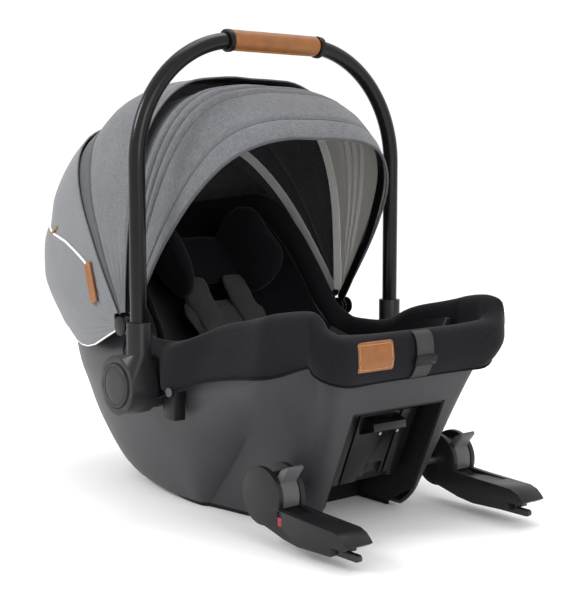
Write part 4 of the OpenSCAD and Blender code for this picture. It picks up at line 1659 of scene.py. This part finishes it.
    def trims(self) -> None:
        """Makes the tapes, bindings and stitching, the zip with its pulls and the two side tags."""
        spread = self.across()
        for name, panel, phi, body in (
            ("visor_tape", Panel.VISOR, 89.0, "hood_visor"),
            ("hood_main_tape", Panel.MAIN, 52.0, "hood_main")
        ):
            tape = self.strip(name, panel, phi, self.tape_w, 2.4, 0.8, 22)
            seat_on(paint(tape, TAPE), body, "hood_cloth")
        edge = [self.point(Panel.VISOR, 125, a, -0.9) for a in spread]
        seat_on(paint(smooth(tube("visor_binding", edge, 1.9)), CANVAS_DARK_AND_SHADE), "hood_visor", "hood_cloth")
        hem = [self.point(Panel.REAR, self.low_edge(a), a, -0.9) for a in spread]
        seat_on(paint(smooth(tube("rear_hem_piping", hem, 1.1)), TAPE), "shell", "hood_cloth")
        for lines, name, panel, body in (
            ((100.2, 104.0, 107.8, 119.0), "visor_stitching", Panel.VISOR, "hood_visor"),
            ((61.0, 92.0), "main_stitching", Panel.MAIN, "hood_main")
        ):
            made = []
            for phi in lines:
                path = [self.point(panel, phi, a, 0.7) for a in spread[6:-6]]
                made.append(stitches("line", path, 0.4, 5.0))
            seat_on(paint(join(made, name), THREAD_GREY), body, "hood_cloth")
        zip_path = [
            (6.6, 41), (9, 39.5), (13, 37), (18, 34.5), (24, 31.5), (31, 29), (42, 27.4), (60, 26.6),
            (90, 26.4)
        ]
        left = [self.point(Panel.REAR, phi, a, 0.6) for a, phi in zip_path]
        path = left + [Vector((-p.x, p.y, p.z)) for p in left[-2::-1]]
        fine: Row = []
        for i in range(len(path) - 1):
            fine += [path[i].lerp(path[i + 1], s / 4) for s in range(4)]
        snug = [self.near_rear(p, 0.9) for p in fine]
        coil = smooth(tube("rear_zip", snug, 1.5))
        seat_on(paint(coil, TAPE), "shell", "hood_cloth")
        for side, name in ((-1, "left"), (1, "right")):
            pull = self.near_rear(self.point(Panel.REAR, 29, 31 if side < 0 else 149, 2.0), 2.6)
            shape = tube(
                "pull",
                [
                    pull, pull + Vector((side * 0.5, -5, 4)), pull + Vector((side * 1.0, -11, 7)),
                    pull + Vector((side * 1.0, -17, 9))
                ],
                1.7
            )
            seat_on(paint(smooth(shape), BRASS), "shell", "hood_cloth")
            shape.name = f"zip_pull_{name}"
            a_top, a_low = (7.4, 2.9) if side < 0 else (172.6, 177.1)
            top, low = self.point(Panel.REAR, 43, a_top, 2.0), self.point(Panel.REAR, 22, a_low, 2.4)
            way = (low - top).normalized()
            across = Vector((0, way.z, -way.y)).normalized()
            out = Vector((side, 0, 0))
            length = (low - top).length

            def at(
                x: float, u: float, o: float, top: Vector = top, way: Vector = way,
                across: Vector = across, out: Vector = out, length: float = length
            ) -> Vector:
                """Places a point on the tag."""
                return top + way * (length / 2 + u) + across * x + out * o

            rows = [[at(x * s, y * s, o) for x, y in rounded(15, length, 2)] for s, o in
                    ((0.02, 0), (1, 0), (1, 1.6), (0.93, 2.2), (0.02, 2.4))]
            tag = paint(smooth(skin(f"side_tag_{name}", rows, ring=True, caps=True)), LEATHER)
            seat_on(tag, "shell", "leather")
            ring = [at(x, y, 2.4) for x, y in rounded(10.5, length - 5, 1.5)]
            seat_on(
                paint(stitches(f"side_tag_stitching_{name}", ring + ring[:1], 0.35, 3.0), THREAD),
                "shell", "leather"
            )

    def near_rear(self, p: Vector, lift: float = 0.5) -> Vector:
        """Moves a point in or out about the pivot until it lies on the rear cloth.

        Args:
            p: The point.
            lift: How far outside the cloth it ends up.

        Returns:
            The moved point.
        """
        phi = math.degrees(math.atan2(p.z - self.z, p.y - self.y))
        low, high = (0.3, 90.0)
        side = p.x <= 0
        target = math.hypot(p.y - self.y, p.z - self.z) / max(1.0, abs(p.x))
        for _ in range(30):
            a = (low + high) / 2
            q = self.point(Panel.REAR, phi, a if side else 180 - a)
            if math.hypot(q.y - self.y, q.z - self.z) / max(1.0, abs(q.x)) < target:
                low = a
            else:
                high = a
        return self.point(Panel.REAR, phi, low if side else 180 - low, lift)

    def rear_place(self, phi: float, reach: float = 300) -> tuple[float, float, float]:
        """Gives a point in metres on the hood's middle line.

        Args:
            phi: The angle about the pivot in degrees.
            reach: How far from the pivot it lies, in millimetres.

        Returns:
            The point.
        """
        turn = math.radians(phi)
        return 0, (self.y + reach * math.cos(turn)) * MM, (self.z + reach * math.sin(turn)) * MM

    def build(self) -> None:
        """Makes the hood."""
        rear = self.cloth(
            Panel.REAR, "rear_hood_cloth", 72, "hood_rear_cloth", [CANVAS_SMOOTH], MESH_LINING,
            lambda phi: 0
        )
        main = self.cloth(
            Panel.MAIN, "main_hood_cloth", 64, "hood_main_cloth", [CANVAS, CANVAS_DARK_AND_SHADE], MESH_LINING,
            lambda phi: 1 if phi < 61.0 else 0
        )
        # The visor's lining is painted pale, as painted light for the light that shines through the cloth.
        # The visor's outside below 95.5° lies under the main cloth's front edge: it gets the darker canvas as
        # painted shade.
        visor = self.cloth(
            Panel.VISOR, "visor_hood_cloth", 70, "hood_visor_cloth", [CANVAS, CANVAS_DARK_AND_SHADE], LINING_AND_PAINTED_LIGHT,
            lambda phi: 1 if phi < 95.5 else 0
        )
        start, end = self.rear_place(self.fold_from), self.rear_place(self.fold_to)
        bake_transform(rear)
        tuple(start)
        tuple(end)
        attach(main, "hood_main")
        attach(visor, "hood_visor")
        self.hoop("main_hoop_strip", Panel.MAIN, 86, 3.0, "hood_main_hoop", "hood_main")
        self.hoop("visor_hoop_strip", Panel.VISOR, 121, 2.6, "hood_visor_hoop", "hood_visor")
        self.trims()
        edged_copy("hood_mounts", NYLON, "dark_plastic", 0.5)


# ---------------------------------------------------------------- connectors


@dataclass
class Connectors:
    """The two arms that clip to the vehicle's anchor bars, with the widths of their rounded edges."""

    arm_edge: float = 1.2
    plate_edge: float = 0.5
    hook_edge: float = 0.4
    tab_edge: float = 1.0
    flag_edge: float = 0.2

    def build(self) -> None:
        """Dresses the arms, the latches, the tabs and the flags."""
        paint(frame["nodes"]["arm_pins"], ZINC_STEEL)
        for name in ("left", "right"):
            edged_copy(f"arm_{name}", ARM_NYLON, "arm_plastic", self.arm_edge)
            edged_copy(f"latch_plate_{name}", BLACK_STEEL, "blackened_steel", self.plate_edge)
            edged_copy(f"hook_{name}", BLACK_STEEL, "blackened_steel", self.hook_edge)
            edged_copy(f"release_tab_{name}", TAB_PP, "tab_plastic", self.tab_edge)
            edged_copy(f"latch_flag_{name}", RED_PP, "red_plastic", self.flag_edge)


# ---------------------------------------------------------------- studio


@dataclass
class Studio:
    """The camera, the pale floor and the soft lights."""

    place: tuple[float, float, float] = (-1.0064, -1.2539, 0.4239)
    tilt: float = 6.0
    heading: float = -39.5
    lens: float = 75.4
    air: float = 1.04

    def camera(self) -> None:
        """Makes the camera."""
        data = bpy.data.cameras.new("camera")
        data.lens, data.sensor_width = self.lens, 36
        camera = bpy.data.objects.new("camera", data)
        camera.location = self.place
        camera.rotation_euler = (math.radians(90 - self.tilt), 0, math.radians(self.heading))
        bpy.context.scene.collection.objects.link(camera)
        bpy.context.scene.camera = camera

    def floor(self) -> None:
        """Makes the plain pale floor."""
        bpy.ops.object.select_all(action="DESELECT")
        bpy.ops.mesh.primitive_plane_add(size=60, location=(0, 0, -0.0004))
        ground = bpy.context.object
        ground.name = "studio_floor"
        bpy.ops.object.transform_apply(location=True, rotation=True, scale=True)
        paint(ground, PAPER)

    def light(
        self, name: str, place: tuple[float, float, float], target: tuple[float, float, float],
        size: float, power: float
    ) -> None:
        """Adds a square soft light.

        Args:
            name: The light's name.
            place: Where it hangs.
            target: The point that it is turned to.
            size: The length of its side.
            power: Its power in watts.
        """
        data = bpy.data.lights.new(name, "AREA")
        data.shape, data.size, data.energy = "SQUARE", size, power
        lamp = bpy.data.objects.new(name, data)
        lamp.location = place
        lamp.rotation_euler = (Vector(target) - Vector(place)).to_track_quat("-Z", "Y").to_euler()
        bpy.context.scene.collection.objects.link(lamp)

    def build(self) -> None:
        """Makes the studio."""
        self.camera()
        self.floor()
        self.light("top_softbox", (0.5, 0.2, 2.6), (0, 0, 0.3), 1.6, 22)
        self.light("left_softbox", (-2.3, 0.9, 1.9), (0, 0.1, 0.35), 0.9, 38)
        self.light("front_softbox", (-0.4, -3.0, 1.2), (0, 0.1, 0.35), 1.4, 22)
        world = bpy.data.worlds.new("studio_air")
        world.use_nodes = True
        world.node_tree.nodes["Background"].inputs[0].default_value = (1, 1, 1, 1)
        world.node_tree.nodes["Background"].inputs[1].default_value = self.air
        bpy.context.scene.world = world
        bpy.context.scene.view_settings.view_transform = "Standard"


def main() -> None:
    """Builds the seat, piece by piece."""
    logging.basicConfig(level=logging.INFO, format="%(name)s %(message)s")
    Studio().build()
    Shell().build()
    padding = Padding()
    padding.build()
    Harness(padding).build()
    Headrest(padding).build()
    Handle().build()
    Hood().build()
    Connectors().build()
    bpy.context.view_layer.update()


if __name__ == "__main__":
    main()
